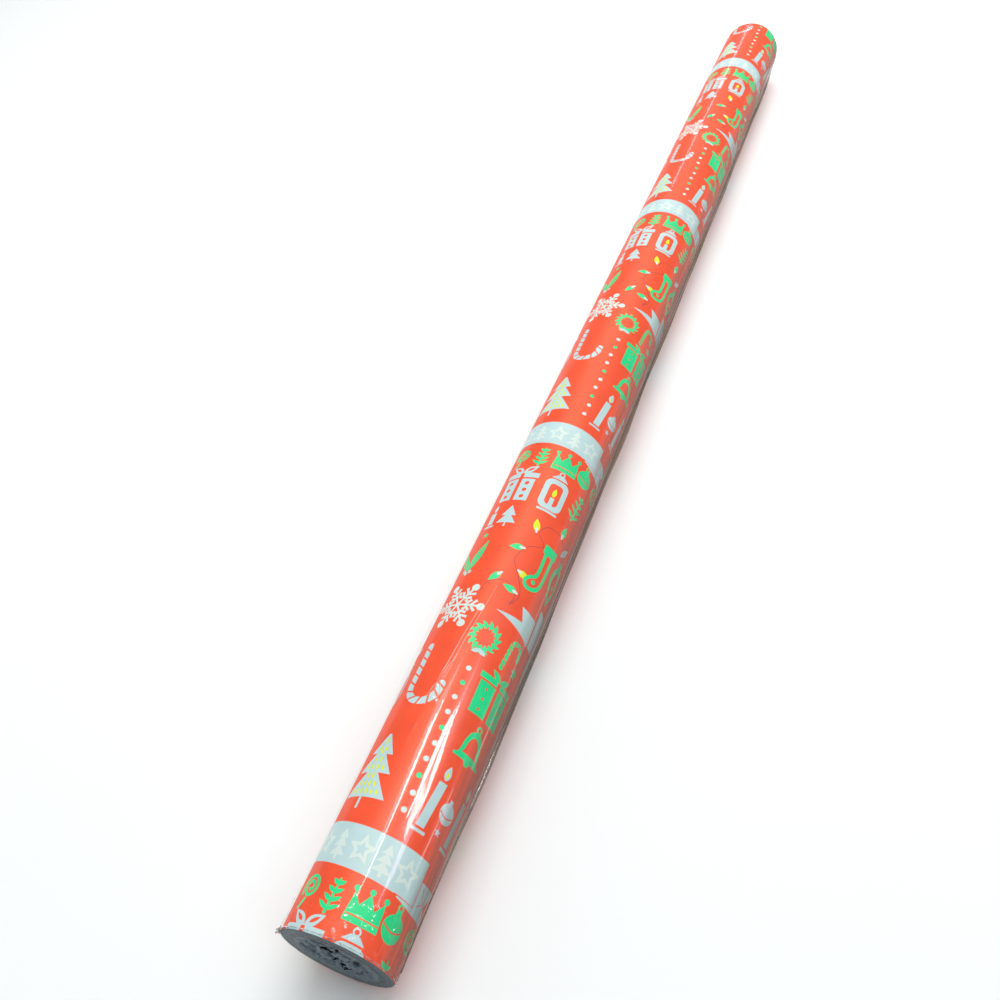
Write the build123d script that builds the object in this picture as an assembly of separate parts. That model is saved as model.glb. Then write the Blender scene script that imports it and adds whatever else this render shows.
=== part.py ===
from build123d import *
import math
import os

# A gift wrap roll lying on its side: a printed paper sheet wound on a board
# core, closed in a clear shrink film.  Millimetres, +Z up, the roll's axis
# along X.  The origin is the centre of the core's bore.

# --- the sheet and its core -------------------------------------------------
SHEET_WIDTH = 700.0          # width of the paper, so the length of the roll
CORE_BORE_R = 13.5
PLY_THICKNESS = 0.5          # one ply of core board
PLIES = ("core_inner_ply", "core_middle_ply", "core_outer_ply")
GLUE_LINE = 0.02             # glue between two plies
CORE_RECESS = 3.0            # the core stops this far inside each end
CORE_RUNNING_GAP = 0.08      # radial, between the core and the first turn
WOUND_WALL = 4.66            # all the turns but the last, from bore to outside
TURN_THICKNESS = 0.3         # the last turn, thicker than its sheet
TURN_GAP = 0.02              # between the last turn and the turns below
FREE_EDGE_DEG = 310.0        # where the sheet ends, from +Y towards +Z
FREE_EDGE_STEP = 0.8         # width of the step beside the free edge

# --- the clear film ---------------------------------------------------------
FILM_THICKNESS = 0.3
FILM_GAP = 0.3               # radial, between the last turn and the film
END_GAP = 0.05               # between a film end and what it closes
SEAM_HEIGHT = 2.4            # how far the welded fin stands out
SEAM_THICKNESS = 0.5
SEAM_DEG = 195.0             # where the fin stands, from +Y towards +Z
SEAM_END_MARGIN = 4.0        # the fin stops this far from each end
SEAM_ROOT = 0.01             # between the fin and the film it is welded to

# --- the gathers in each film end -------------------------------------------
DISH_GAP = 0.7               # radial, between the gathers and the paper's bore
DISH_TO_CORE = 1.05          # along the roll, between the gathers and the core
DISH_SLOPE = 4.5             # radial width of the gathers' sloping part
EYE_R = 2.0                  # the small hole that the film shrinks to
PLEAT_COUNT = 9
PLEAT_THICKNESS = 0.4
PLEAT_DROP = 0.4             # the pleats stay this far below the end face
PLEAT_INSET = 1.6            # from the eye's rim to a pleat
VENT_COUNT = 7               # small holes between the pleats
VENT_R = 0.9
VENT_INSET = 2.4             # from the dish's slope to a vent's centre

CUT_OVERRUN = 1.0            # how far a cut runs past what it cuts

# --- worked out from the above ----------------------------------------------
ply_pitch = PLY_THICKNESS + GLUE_LINE
core_outer_r = CORE_BORE_R + len(PLIES) * ply_pitch - GLUE_LINE
core_length = SHEET_WIDTH - 2 * CORE_RECESS
wound_bore_r = core_outer_r + CORE_RUNNING_GAP
wound_outer_r = wound_bore_r + WOUND_WALL
turn_inner_r = wound_outer_r + TURN_GAP
turn_outer_r = turn_inner_r + TURN_THICKNESS
film_inner_r = turn_outer_r + FILM_GAP
film_outer_r = film_inner_r + FILM_THICKNESS
end_face_x = SHEET_WIDTH / 2 + END_GAP + FILM_THICKNESS
dish_r = wound_bore_r - DISH_GAP
dish_floor_r = dish_r - DISH_SLOPE
dish_depth = CORE_RECESS + END_GAP - DISH_TO_CORE

AXIAL = Plane.YZ             # its normal is +X, along the roll


def tube(inner_r, outer_r, length):
    """A tube about the X axis, centred on the origin."""
    ring = Circle(outer_r) - Circle(inner_r)
    return extrude(AXIAL * ring, length / 2, both=True)


def core_ply(index):
    """One ply of the core, counted outwards from the bore."""
    inner_r = CORE_BORE_R + index * ply_pitch
    return tube(inner_r, inner_r + PLY_THICKNESS, core_length)


def wound_paper():
    """All the turns of the sheet but the last."""
    return tube(wound_bore_r, wound_outer_r, SHEET_WIDTH)


def outer_turn():
    """The last turn, open along the step beside the sheet's free edge."""
    turn = tube(turn_inner_r, turn_outer_r, SHEET_WIDTH)
    middle_r = (turn_inner_r + turn_outer_r) / 2
    cut_length = SHEET_WIDTH + 2 * CUT_OVERRUN
    cut_depth = TURN_THICKNESS + 2 * CUT_OVERRUN
    step = Box(cut_length, cut_depth, FREE_EDGE_STEP)
    return turn - Rot(X=FREE_EDGE_DEG) * Pos(Y=middle_r) * step


def film_sleeve():
    """The film around the roll's side."""
    return tube(film_inner_r, film_outer_r, SHEET_WIDTH)


def film_seam():
    """The welded fin that runs along the film."""
    length = SHEET_WIDTH - 2 * SEAM_END_MARGIN
    root_r = film_outer_r + SEAM_ROOT
    outwards = (Align.CENTER, Align.MIN, Align.CENTER)
    fin = Box(length, SEAM_HEIGHT, SEAM_THICKNESS, align=outwards)
    return Rot(X=SEAM_DEG) * Pos(Y=root_r) * fin


def film_end():
    """The film over the +X end: a flat ring that dips into gathers over the bore."""
    outer_x = end_face_x
    inner_x = end_face_x - FILM_THICKNESS
    shell = Polyline(
        (inner_x, film_outer_r),
        (outer_x, film_outer_r),
        (outer_x, dish_r),
        (outer_x - dish_depth, dish_floor_r),
        (outer_x - dish_depth, EYE_R),
        (inner_x - dish_depth, EYE_R),
        (inner_x - dish_depth, dish_floor_r),
        (inner_x, dish_r),
        close=True,
    )
    body = revolve(make_face(shell), Axis.X)
    # A pleat spans the dish like a gusset, from near its rim down to its floor.
    drop = PLEAT_DROP / dish_depth
    floor_x = outer_x - dish_depth - FILM_THICKNESS / 2
    gusset = Polyline(
        (outer_x - PLEAT_DROP, dish_r - drop * DISH_SLOPE),
        (floor_x, dish_floor_r),
        (floor_x, EYE_R + PLEAT_INSET),
        close=True,
    )
    pleat = extrude(make_face(gusset), PLEAT_THICKNESS / 2, both=True)
    turn = 360 / PLEAT_COUNT
    for index in range(PLEAT_COUNT):
        body += Rot(X=index * turn) * pleat
    vent = Rot(Y=90) * Cylinder(VENT_R, FILM_THICKNESS + 2 * CUT_OVERRUN)
    vent_r = dish_floor_r - VENT_INSET
    for index in range(VENT_COUNT):
        body -= Rot(X=(index + 0.5) * turn) * Pos(X=floor_x, Y=vent_r) * vent
    return body


def build():
    """Every node of the roll, by name."""
    far_end = film_end()
    plies = {name: core_ply(index) for index, name in enumerate(PLIES)}
    return plies | {
        "wound_paper": wound_paper(),
        "outer_turn": outer_turn(),
        "film_sleeve": film_sleeve(),
        "film_seam": film_seam(),
        "film_end_near": mirror(far_end, Plane.YZ),
        "film_end_far": far_end,
    }


os.makedirs("parts", exist_ok=True)
for name, solid in build().items():
    export_step(solid, os.path.join("parts", name + ".step"))
print("length over the film", 2 * end_face_x, "diameter", 2 * film_outer_r)
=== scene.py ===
"""A gift wrap roll in clear shrink film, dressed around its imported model."""

import logging
import math
from dataclasses import dataclass, field
from enum import Enum
from typing import Sequence

import bpy
from mathutils import Matrix, Vector, noise
from mathutils.geometry import delaunay_2d_cdt


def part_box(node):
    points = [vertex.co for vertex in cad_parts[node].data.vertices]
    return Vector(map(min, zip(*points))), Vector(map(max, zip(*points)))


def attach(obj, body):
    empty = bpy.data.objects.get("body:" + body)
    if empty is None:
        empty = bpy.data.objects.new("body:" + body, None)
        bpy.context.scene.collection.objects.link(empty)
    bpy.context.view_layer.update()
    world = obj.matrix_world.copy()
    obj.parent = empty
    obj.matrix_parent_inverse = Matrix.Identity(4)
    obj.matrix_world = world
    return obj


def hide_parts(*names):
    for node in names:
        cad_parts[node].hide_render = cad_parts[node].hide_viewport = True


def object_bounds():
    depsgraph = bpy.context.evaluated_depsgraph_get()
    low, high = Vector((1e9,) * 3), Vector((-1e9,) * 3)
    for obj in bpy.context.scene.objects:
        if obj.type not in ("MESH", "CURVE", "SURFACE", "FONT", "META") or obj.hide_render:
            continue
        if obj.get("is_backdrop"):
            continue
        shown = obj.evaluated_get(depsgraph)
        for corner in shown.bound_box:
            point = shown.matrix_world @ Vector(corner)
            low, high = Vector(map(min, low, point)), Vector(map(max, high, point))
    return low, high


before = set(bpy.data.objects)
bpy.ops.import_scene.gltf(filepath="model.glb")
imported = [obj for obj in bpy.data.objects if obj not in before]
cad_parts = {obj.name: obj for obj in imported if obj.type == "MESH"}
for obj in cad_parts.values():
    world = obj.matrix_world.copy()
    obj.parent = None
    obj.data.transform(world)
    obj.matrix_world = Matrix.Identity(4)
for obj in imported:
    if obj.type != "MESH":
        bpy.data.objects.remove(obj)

LOG = logging.getLogger("gift_wrap_roll")
MM = 0.001
RUNNING_GAP = 0.08 * MM  # radial, between the core and the first turn of paper
DEEPEST_GATHER = 2.2 * MM  # how far film may sink below the end's face
FULL_TURN = 2.0 * math.pi
FRONT_ANGLE = math.radians(19.0)  # the roll's front line, from its top towards -Y
Point = tuple[float, float]
Outline = list[Point]


# ---------------------------------------------------------------------------
# Sizes and placing
# ---------------------------------------------------------------------------


@dataclass(frozen=True)
class RollSizes:
    """The roll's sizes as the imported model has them, in metres."""

    half_length: float
    wound_bore_r: float
    wound_r: float
    sheet_r: float
    film_r: float
    seam_height: float

    @classmethod
    def from_frame(cls) -> "RollSizes":
        """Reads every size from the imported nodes.

        Returns:
            The sizes of this roll.
        """
        core_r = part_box("core_outer_ply")[1][2]
        film_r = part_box("film_sleeve")[1][2]
        seam_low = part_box("film_seam")[0]
        return cls(
            half_length=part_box("wound_paper")[1][0],
            wound_bore_r=core_r + RUNNING_GAP,
            wound_r=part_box("wound_paper")[1][2],
            sheet_r=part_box("outer_turn")[1][2],
            film_r=film_r,
            seam_height=math.hypot(seam_low[1], seam_low[2]) - film_r,
        )


SIZES = RollSizes.from_frame()


def around(s: float) -> float:
    """The angle from the roll's top, towards -Y, of a place s metres round from the front line."""
    return FRONT_ANGLE + s / SIZES.sheet_r


def on_roll(s: float, x: float, r: float) -> tuple[float, float, float]:
    """A point on the roll.

    Args:
        s: Distance round the sheet from the front line, in metres.
        x: Place along the roll, in metres.
        r: Distance from the axis, in metres.

    Returns:
        The point in the part's frame.
    """
    angle = around(s)
    return (x, -r * math.sin(angle), r * math.cos(angle))


def smoothstep(low: float, high: float, value: float) -> float:
    """0 below low, 1 above high, and a smooth ramp between."""
    t = min(1.0, max(0.0, (value - low) / (high - low)))
    return t * t * (3.0 - 2.0 * t)


def mesh_piece(
    name: str, points: Sequence, faces: Sequence, smooth: bool = True
) -> bpy.types.Object:
    """Makes a mesh object and links it to the scene.

    Args:
        name: The piece's name.
        points: Its vertices, in metres.
        faces: Its faces, as vertex indices.
        smooth: Whether its faces shade smoothly.

    Returns:
        The new object.
    """
    mesh = bpy.data.meshes.new(name)
    mesh.from_pydata([tuple(p) for p in points], [], [tuple(f) for f in faces])
    mesh.validate()
    if smooth:
        mesh.shade_smooth()
    piece = bpy.data.objects.new(name, mesh)
    bpy.context.scene.collection.objects.link(piece)
    return piece


# ---------------------------------------------------------------------------
# Materials
# ---------------------------------------------------------------------------


class NodeKit:
    """A small helper around one material's node tree."""

    def __init__(self, name: str) -> None:
        """Starts an empty material called name.

        Args:
            name: The material's name.
        """
        self.material = bpy.data.materials.new(name)
        self.material.use_nodes = True
        self.tree = self.material.node_tree
        self.tree.nodes.clear()
        self.output = self.add("ShaderNodeOutputMaterial")

    def add(self, kind: str, **settings: object) -> bpy.types.Node:
        """Adds one node.

        Args:
            kind: The node's type.
            **settings: Properties to set on it.

        Returns:
            The node.
        """
        node = self.tree.nodes.new(kind)
        for key, value in settings.items():
            setattr(node, key, value)
        return node

    def link(self, source: bpy.types.NodeSocket, target: bpy.types.NodeSocket) -> None:
        """Links two sockets."""
        self.tree.links.new(source, target)

    def put(self, target: bpy.types.NodeSocket, value: object) -> None:
        """Feeds a socket from another socket, or sets it to a plain value."""
        if isinstance(value, bpy.types.NodeSocket):
            self.link(value, target)
        else:
            target.default_value = value

    def coordinates(self) -> bpy.types.NodeSocket:
        """The place on the object, in metres."""
        return self.add("ShaderNodeTexCoord").outputs["Object"]

    def math(self, operation: str, *values: object) -> bpy.types.NodeSocket:
        """One arithmetic step.

        Args:
            operation: Blender's name for it.
            *values: Numbers or sockets.

        Returns:
            The result's socket.
        """
        node = self.add("ShaderNodeMath", operation=operation)
        for socket, value in zip(node.inputs, values):
            self.put(socket, value)
        return node.outputs[0]

    def noise(
        self, vector: bpy.types.NodeSocket, scale: float, detail: float = 3.0, rough: float = 0.5
    ) -> bpy.types.NodeSocket:
        """A noise value from 0 to 1 at the given scale, in features per metre.

        Args:
            vector: Coordinates in metres.
            scale: Features per metre.
            detail: How many finer layers it has.
            rough: How strong the finer layers are.

        Returns:
            The value's socket.
        """
        node = self.add("ShaderNodeTexNoise")
        self.link(vector, node.inputs["Vector"])
        node.inputs["Scale"].default_value = scale
        node.inputs["Detail"].default_value = detail
        node.inputs["Roughness"].default_value = rough
        return node.outputs["Fac"]

    def stretched(
        self, vector: bpy.types.NodeSocket, scale: tuple[float, float, float]
    ) -> bpy.types.NodeSocket:
        """The same coordinates with each axis scaled by its own amount.

        Args:
            vector: The coordinates.
            scale: Each axis's factor.

        Returns:
            The new coordinates' socket.
        """
        node = self.add("ShaderNodeMapping")
        self.link(vector, node.inputs["Vector"])
        node.inputs["Scale"].default_value = scale
        return node.outputs["Vector"]

    def ramp(
        self, value: bpy.types.NodeSocket, stops: Sequence[tuple[float, Sequence[float]]]
    ) -> bpy.types.NodeSocket:
        """A colour ramp.

        Args:
            value: What drives it.
            stops: Position and linear colour of each stop.

        Returns:
            The colour's socket.
        """
        node = self.add("ShaderNodeValToRGB")
        self.link(value, node.inputs["Fac"])
        elements = node.color_ramp.elements
        while len(elements) < len(stops):
            elements.new(1.0)
        for element, (place, colour) in zip(elements, stops):
            element.position = place
            element.color = (*colour[:3], 1.0)
        return node.outputs["Color"]

    def range(
        self, value: bpy.types.NodeSocket, low: float, high: float, new_low: float, new_high: float
    ) -> bpy.types.NodeSocket:
        """Carries a value from one range to another, held at both ends.

        Args:
            value: What is carried over.
            low: Where its range starts.
            high: Where its range ends.
            new_low: What low turns into.
            new_high: What high turns into.

        Returns:
            The new value's socket.
        """
        node = self.add("ShaderNodeMapRange")
        for socket, number in zip(node.inputs, (value, low, high, new_low, new_high)):
            self.put(socket, number)
        return node.outputs["Result"]

    def mix(self, amount: object, first: object, second: object) -> bpy.types.NodeSocket:
        """Mixes two colours.

        Args:
            amount: 0 for the first colour, 1 for the second.
            first: A colour or a socket.
            second: A colour or a socket.

        Returns:
            The mixed colour's socket.
        """
        node = self.add("ShaderNodeMix", data_type="RGBA")
        self.put(node.inputs[0], amount)
        self.put(node.inputs[6], first)
        self.put(node.inputs[7], second)
        return node.outputs[2]

    def bump(
        self, height: bpy.types.NodeSocket, distance: float, strength: float = 1.0
    ) -> bpy.types.NodeSocket:
        """A bump normal from a height of 0 to 1 that stands distance metres.

        Args:
            height: The height's socket.
            distance: How far a height of 1 stands out.
            strength: How much of it is used, from 0 to 1.

        Returns:
            The normal's socket.
        """
        node = self.add("ShaderNodeBump")
        self.link(height, node.inputs["Height"])
        node.inputs["Distance"].default_value = distance
        node.inputs["Strength"].default_value = strength
        return node.outputs["Normal"]

    def principled(self, **inputs: object) -> bpy.types.Node:
        """Adds a Principled shader.

        Args:
            **inputs: Its inputs, with the spaces in their names as underscores.

        Returns:
            The shader's node.
        """
        node = self.add("ShaderNodeBsdfPrincipled")
        for key, value in inputs.items():
            self.put(node.inputs[key.replace("_", " ")], value)
        return node

    def finish(self, shader: bpy.types.NodeSocket) -> bpy.types.Material:
        """Ends the material with its shader and returns it."""
        self.link(shader, self.output.inputs["Surface"])
        return self.material


@dataclass(frozen=True)
class PrintedInk:
    """Gloss-coated paper in one ink of the print."""

    name: str
    colour: tuple[float, float, float]
    mottle: float = 0.06
    roughness: float = 0.45

    def material(self) -> bpy.types.Material:
        """Makes this ink's material, with the mottle and grain of print on coated paper.

        Returns:
            The material.
        """
        kit = NodeKit(self.name)
        place = kit.coordinates()
        cloud = kit.noise(place, 90.0, 4.0, 0.6)
        fibre = kit.noise(kit.stretched(place, (900.0, 2600.0, 2600.0)), 1.0, 3.0, 0.6)
        dark = tuple(c * (1.0 - self.mottle * 2.0) for c in self.colour)
        light = tuple(min(1.0, c * (1.0 + self.mottle)) for c in self.colour)
        tone = kit.ramp(cloud, ((0.3, dark), (0.7, light)))
        base = kit.mix(kit.range(fibre, 0.35, 0.75, 0.0, 0.12), tone, (*light, 1.0))
        shader = kit.principled(
            Base_Color=base,
            Roughness=kit.range(cloud, 0.3, 0.7, self.roughness - 0.04, self.roughness + 0.08),
            Specular_IOR_Level=0.12,
            Normal=kit.bump(fibre, 0.000015, 0.5),
        )
        return kit.finish(shader.outputs[0])


@dataclass(frozen=True)
class PaperEdgeWithPaintedShade:
    """The cut edges of the wound sheet: turn upon turn, in bands of slightly uneven height, coloured dark
    blue-grey as painted shade.
    """

    name: str = "cut_paper_edge_painted_shade"
    # Both band colours are dark blue-grey: painted shade on cut edges of pale paper.
    light: tuple[float, float, float] = (0.17, 0.25, 0.29)
    dark: tuple[float, float, float] = (0.025, 0.045, 0.06)

    def material(self) -> bpy.types.Material:
        """Makes the material, whose bands follow the distance from the roll's axis.

        Returns:
            The material.
        """
        kit = NodeKit(self.name)
        place = kit.coordinates()
        split = kit.add("ShaderNodeSeparateXYZ")
        kit.link(place, split.inputs[0])
        square = kit.math("ADD", kit.math("POWER", split.outputs[1], 2.0),
                          kit.math("POWER", split.outputs[2], 2.0))
        radius = kit.math("SQRT", square)
        angle = kit.math("ARCTAN2", split.outputs[2], split.outputs[1])
        turns = kit.math("ADD", kit.math("DIVIDE", radius, 0.00075),
                         kit.math("DIVIDE", angle, FULL_TURN))
        wobble = kit.noise(place, 140.0, 2.0)
        band_at = kit.add("ShaderNodeCombineXYZ")
        kit.link(turns, band_at.inputs[0])
        kit.link(kit.math("MULTIPLY", wobble, 0.8), band_at.inputs[1])
        bands = kit.noise(band_at.outputs[0], 1.0, 4.0, 0.65)
        base = kit.ramp(bands, ((0.32, self.dark), (0.68, self.light)))
        shader = kit.principled(
            Base_Color=base,
            Roughness=0.85,
            Specular_IOR_Level=0.2,
            Normal=kit.bump(bands, 0.00012, 0.8),
        )
        return kit.finish(shader.outputs[0])


@dataclass(frozen=True)
class CoreBoard:
    """Brown core board, wound in a spiral with a butt seam between its turns."""

    name: str
    colour: tuple[float, float, float] = (0.36, 0.235, 0.135)
    pitch: float = 0.072
    lead: float = 0.0

    def material(self) -> bpy.types.Material:
        """Makes the material, whose seams run round the axis as a helix.

        Returns:
            The material.
        """
        kit = NodeKit(self.name)
        place = kit.coordinates()
        split = kit.add("ShaderNodeSeparateXYZ")
        kit.link(place, split.inputs[0])
        angle = kit.math("ARCTAN2", split.outputs[2], split.outputs[1])
        along = kit.math("ADD", kit.math("DIVIDE", split.outputs[0], self.pitch),
                         kit.math("DIVIDE", angle, FULL_TURN))
        phase = kit.math("FRACT", kit.math("ADD", along, 10.0 + self.lead))
        seam = kit.range(kit.math("ABSOLUTE", kit.math("SUBTRACT", phase, 0.5)), 0.0, 0.012, 1.0, 0.0)
        fibre = kit.noise(kit.stretched(place, (260.0, 900.0, 900.0)), 1.0, 6.0, 0.7)
        fleck = kit.noise(place, 1500.0, 2.0, 0.6)
        dark = tuple(c * 0.62 for c in self.colour)
        light = tuple(c * 1.25 for c in self.colour)
        tone = kit.ramp(fibre, ((0.3, dark), (0.72, light)))
        tone = kit.mix(kit.range(fleck, 0.62, 0.72, 0.0, 0.5), tone, (*dark, 1.0))
        base = kit.mix(kit.math("MULTIPLY", seam, 0.75), tone, (*(c * 0.3 for c in dark), 1.0))
        height = kit.math("SUBTRACT", fibre, kit.math("MULTIPLY", seam, 1.2))
        shader = kit.principled(
            Base_Color=base,
            Roughness=0.88,
            Specular_IOR_Level=0.2,
            Normal=kit.bump(height, 0.00008, 0.7),
        )
        return kit.finish(shader.outputs[0])


class FilmPlace(Enum):
    """Where a stretch of film sits, which sets how much of it is crumpled and milky."""

    SIDE = "side"
    SEAM = "seam"
    END = "end"
    FRILL = "frill"
    CREASE = "crease"


@dataclass(frozen=True)
class ShrinkFilm:
    """Clear glossy shrink film, milky where it is drawn together; its haze also carries painted shade, a
    painted reflection and painted highlights.
    """

    place: FilmPlace
    haze: float
    haze_colour: tuple[float, float, float]
    gloss: float = 1.4
    gloss_limit: float = 0.05
    roughness: float = 0.045
    soft_roughness: float = 0.26
    soft_share: float = 0.4
    folded_haze: float = 0.0
    # Towards -Y, by the fin, the side film's brown haze thickens: painted shade and a painted brown
    # reflection on that flank.
    shade_side_y: tuple[float, float] = (-0.0215, -0.0165)
    shade_side_haze: float = 0.55
    # Inside gathered_r an end's dark haze thickens almost to opaque: painted shade that hides the lit bore
    # behind the holes.
    gathered_r: tuple[float, float] = (0.0142, 0.0160)
    gathered_shade_haze: float = 0.93
    # Between these places along X an end's colour runs from dark in the pockets to light on the strands:
    # painted shade and painted light.
    sunk: tuple[float, float] = (SIZES.half_length - 1.65 * MM, SIZES.half_length + 0.55 * MM)

    def milk_colour(self, kit: NodeKit, place: bpy.types.NodeSocket) -> object:
        """The haze's colour: even; striped brown on the seam, as painted shade and reflection; blotched
        with white painted glints on the frill; or dark in the pockets and lighter on the strands of an end,
        as painted shade and light.

        Args:
            kit: The material that is being made.
            place: Its coordinates.

        Returns:
            A plain colour for even haze, or a socket.
        """
        if self.place is FilmPlace.SEAM:
            # On the seam, the dark brown and its paler brown stripes are painted shade and a painted brown
            # reflection.
            stripes = kit.noise(kit.stretched(place, (6.0, 1300.0, 1300.0)), 1.0, 2.0, 0.5)
            painted_brown_stripe = tuple(3.6 * c for c in self.haze_colour)
            return kit.ramp(stripes, ((0.42, self.haze_colour), (0.58, painted_brown_stripe)))
        if self.place is FilmPlace.FRILL:
            # On the frill, the white blotches are painted glints on the crumpled flaps.
            blotch = kit.noise(place, 1100.0, 3.0, 0.6)
            white = tuple(17.0 * c for c in self.haze_colour)
            return kit.ramp(blotch, ((0.46, self.haze_colour), (0.56, white)))
        if self.place is not FilmPlace.END:
            return (*self.haze_colour, 1.0)
        # An end darkens with depth: painted shade in the sunk pockets and painted light on the raised
        # strands; the blotch only varies it at random.
        split = kit.add("ShaderNodeSeparateXYZ")
        kit.link(place, split.inputs[0])
        height = kit.range(kit.math("ABSOLUTE", split.outputs[0]), *self.sunk, 0.0, 1.0)
        blotch = kit.noise(place, 700.0, 3.0, 0.6)
        level = kit.math("ADD", height, kit.range(blotch, 0.3, 0.7, -0.06, 0.06))
        deep = tuple(0.10 * c for c in self.haze_colour)
        fold = tuple(2.3 * c for c in self.haze_colour)
        stops = ((0.22, deep), (0.50, self.haze_colour), (0.74, fold), (0.95, self.haze_colour))
        return kit.ramp(level, stops)

    def haze_at(self, kit: NodeKit, place: bpy.types.NodeSocket) -> object:
        """How milky the film is from place to place, thicker towards -Y on the side and in the gathers of
        an end as painted shade.

        Args:
            kit: The material that is being made.
            place: Its coordinates.

        Returns:
            A plain number for even film, or a socket for film that is drawn together.
        """
        if self.place in (FilmPlace.SEAM, FilmPlace.FRILL, FilmPlace.CREASE):
            grain = (14.0, 900.0, 900.0) if self.place is FilmPlace.SEAM else (520.0, 520.0, 520.0)
            patches = kit.noise(kit.stretched(place, grain), 1.0, 4.0, 0.6)
            return kit.math("ADD", kit.range(patches, 0.4, 0.65, 0.0, self.folded_haze), self.haze)
        split = kit.add("ShaderNodeSeparateXYZ")
        kit.link(place, split.inputs[0])
        if self.place is FilmPlace.SIDE:
            # Painted shade: the brown haze thickens towards -Y.
            shaded_side = kit.range(split.outputs[1], *self.shade_side_y, self.shade_side_haze, self.haze)
            streaks = kit.noise(kit.stretched(place, (9.0, 520.0, 520.0)), 1.0, 3.0, 0.6)
            return kit.math("MULTIPLY", shaded_side, kit.range(streaks, 0.3, 0.7, 0.45, 1.35))
        # On an end, the dark haze thickens inside the gathers: painted shade over the bore.
        square = kit.math("ADD", kit.math("POWER", split.outputs[1], 2.0),
                          kit.math("POWER", split.outputs[2], 2.0))
        drawn = kit.range(kit.math("SQRT", square), *self.gathered_r, self.gathered_shade_haze, self.haze)
        fold = kit.noise(place, 420.0, 4.0, 0.6)
        return kit.math("ADD", kit.range(fold, 0.4, 0.7, 0.0, self.folded_haze), drawn)

    def material(self) -> bpy.types.Material:
        """Makes the film's material.

        Returns:
            A see-through film with a thin haze, and a gloss that grows at a slant up to a limit.
        """
        kit = NodeKit("clear_film_" + self.place.value)
        place = kit.coordinates()
        fine = kit.noise(kit.stretched(place, (30.0, 560.0, 560.0)), 1.0, 3.0, 0.5)
        normal = kit.bump(fine, 0.00004, 0.2)
        clear = kit.add("ShaderNodeBsdfTransparent")
        clear.inputs["Color"].default_value = (0.985, 0.985, 0.98, 1.0)
        milk = kit.principled(
            Base_Color=self.milk_colour(kit, place),
            Roughness=0.4,
            Specular_IOR_Level=0.15,
            Normal=normal,
        )
        haze = self.haze_at(kit, place)
        body = kit.add("ShaderNodeMixShader")
        kit.put(body.inputs[0], haze)
        kit.link(clear.outputs[0], body.inputs[1])
        kit.link(milk.outputs[0], body.inputs[2])
        skin = kit.add("ShaderNodeMixShader")
        skin.inputs[0].default_value = self.soft_share
        for slot, rough in ((1, self.roughness), (2, self.soft_roughness)):
            lobe = kit.principled(
                Base_Color=(0.98, 0.98, 0.98, 1.0), Metallic=1.0, Roughness=rough, Normal=normal
            )
            kit.link(lobe.outputs[0], skin.inputs[slot])
        slant = kit.add("ShaderNodeFresnel")
        slant.inputs["IOR"].default_value = 1.5
        kit.link(normal, slant.inputs["Normal"])
        shine = kit.math("MINIMUM", kit.math("MULTIPLY", slant.outputs[0], self.gloss), self.gloss_limit)
        mix = kit.add("ShaderNodeMixShader")
        kit.link(shine, mix.inputs[0])
        kit.link(body.outputs[0], mix.inputs[1])
        kit.link(skin.outputs[0], mix.inputs[2])
        return kit.finish(mix.outputs[0])


# ---------------------------------------------------------------------------
# The print
# ---------------------------------------------------------------------------


class Ink(Enum):
    """The inks of the print, in the order of the sheet's material slots."""

    RED = 0
    PALE = 1
    MINT = 2
    YELLOW = 3
    WHITE = 4
    LINE = 5


@dataclass
class Artwork:
    """One repeat of the print as flat shapes, in millimetres.

    A place is (s, z): s runs round the sheet from the front line and z runs along the roll.
    Later shapes lie on earlier ones.
    """

    shapes: list[tuple[Ink, Outline]] = field(default_factory=list)

    def area(self, ink: Ink, outline: Outline) -> None:
        """Adds a filled shape."""
        self.shapes.append((ink, outline))

    def box(self, ink: Ink, s0: float, z0: float, s1: float, z1: float, lean: float = 0.0) -> None:
        """Adds a box from corner to corner, whose top is moved sideways by lean."""
        self.area(ink, [(s0, z0), (s1, z0), (s1 + lean, z1), (s0 + lean, z1)])

    def disc(self, ink: Ink, centre: Point, r: float, squash: float = 1.0) -> None:
        """Adds a round or oval spot."""
        count = max(10, int(8 + r * 5))
        self.area(ink, arc(centre, r, 0.0, 360.0 - 360.0 / count, count, squash))

    def ring(
        self, ink: Ink, inside: Ink, centre: Point, r: float, wall: float, squash: float = 1.0
    ) -> None:
        """Adds a ring with a wall of the given width, tall when squash is over 1."""
        self.disc(ink, centre, r, squash)
        inner = r - wall
        self.disc(inside, centre, inner, (r * squash - wall) / inner)

    def stroke(self, ink: Ink, path: Outline, width: float, end_width: float | None = None) -> None:
        """Adds a drawn line with round ends.

        Args:
            ink: Its colour.
            path: The points that it follows.
            width: Its width at the start.
            end_width: Its width at the end, if that differs.
        """
        last = width if end_width is None else end_width
        self.area(ink, ribbon(path, width, last))
        for point, wide in ((path[0], width), (path[-1], last)):
            if wide > 0.5:
                self.disc(ink, point, wide / 2)

    def petal(self, ink: Ink, base: Point, tip: Point, width: float) -> None:
        """Adds a leaf, flame or bulb shape from base to tip.

        Args:
            ink: Its colour.
            base: Where it starts.
            tip: Where it ends.
            width: Its width in the middle.
        """
        (s0, z0), (s1, z1) = base, tip
        ds, dz = s1 - s0, z1 - z0
        long = math.hypot(ds, dz)
        side = (-dz / long * width / 2, ds / long * width / 2)
        outline = []
        for sign, steps in ((1.0, range(0, 9)), (-1.0, range(8, 0, -1))):
            for i in steps:
                t = i / 8
                bulge = math.sin(math.pi * t ** 0.8)
                outline.append((s0 + ds * t + sign * side[0] * bulge, z0 + dz * t + sign * side[1] * bulge))
        self.area(ink, tidy(outline))


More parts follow.
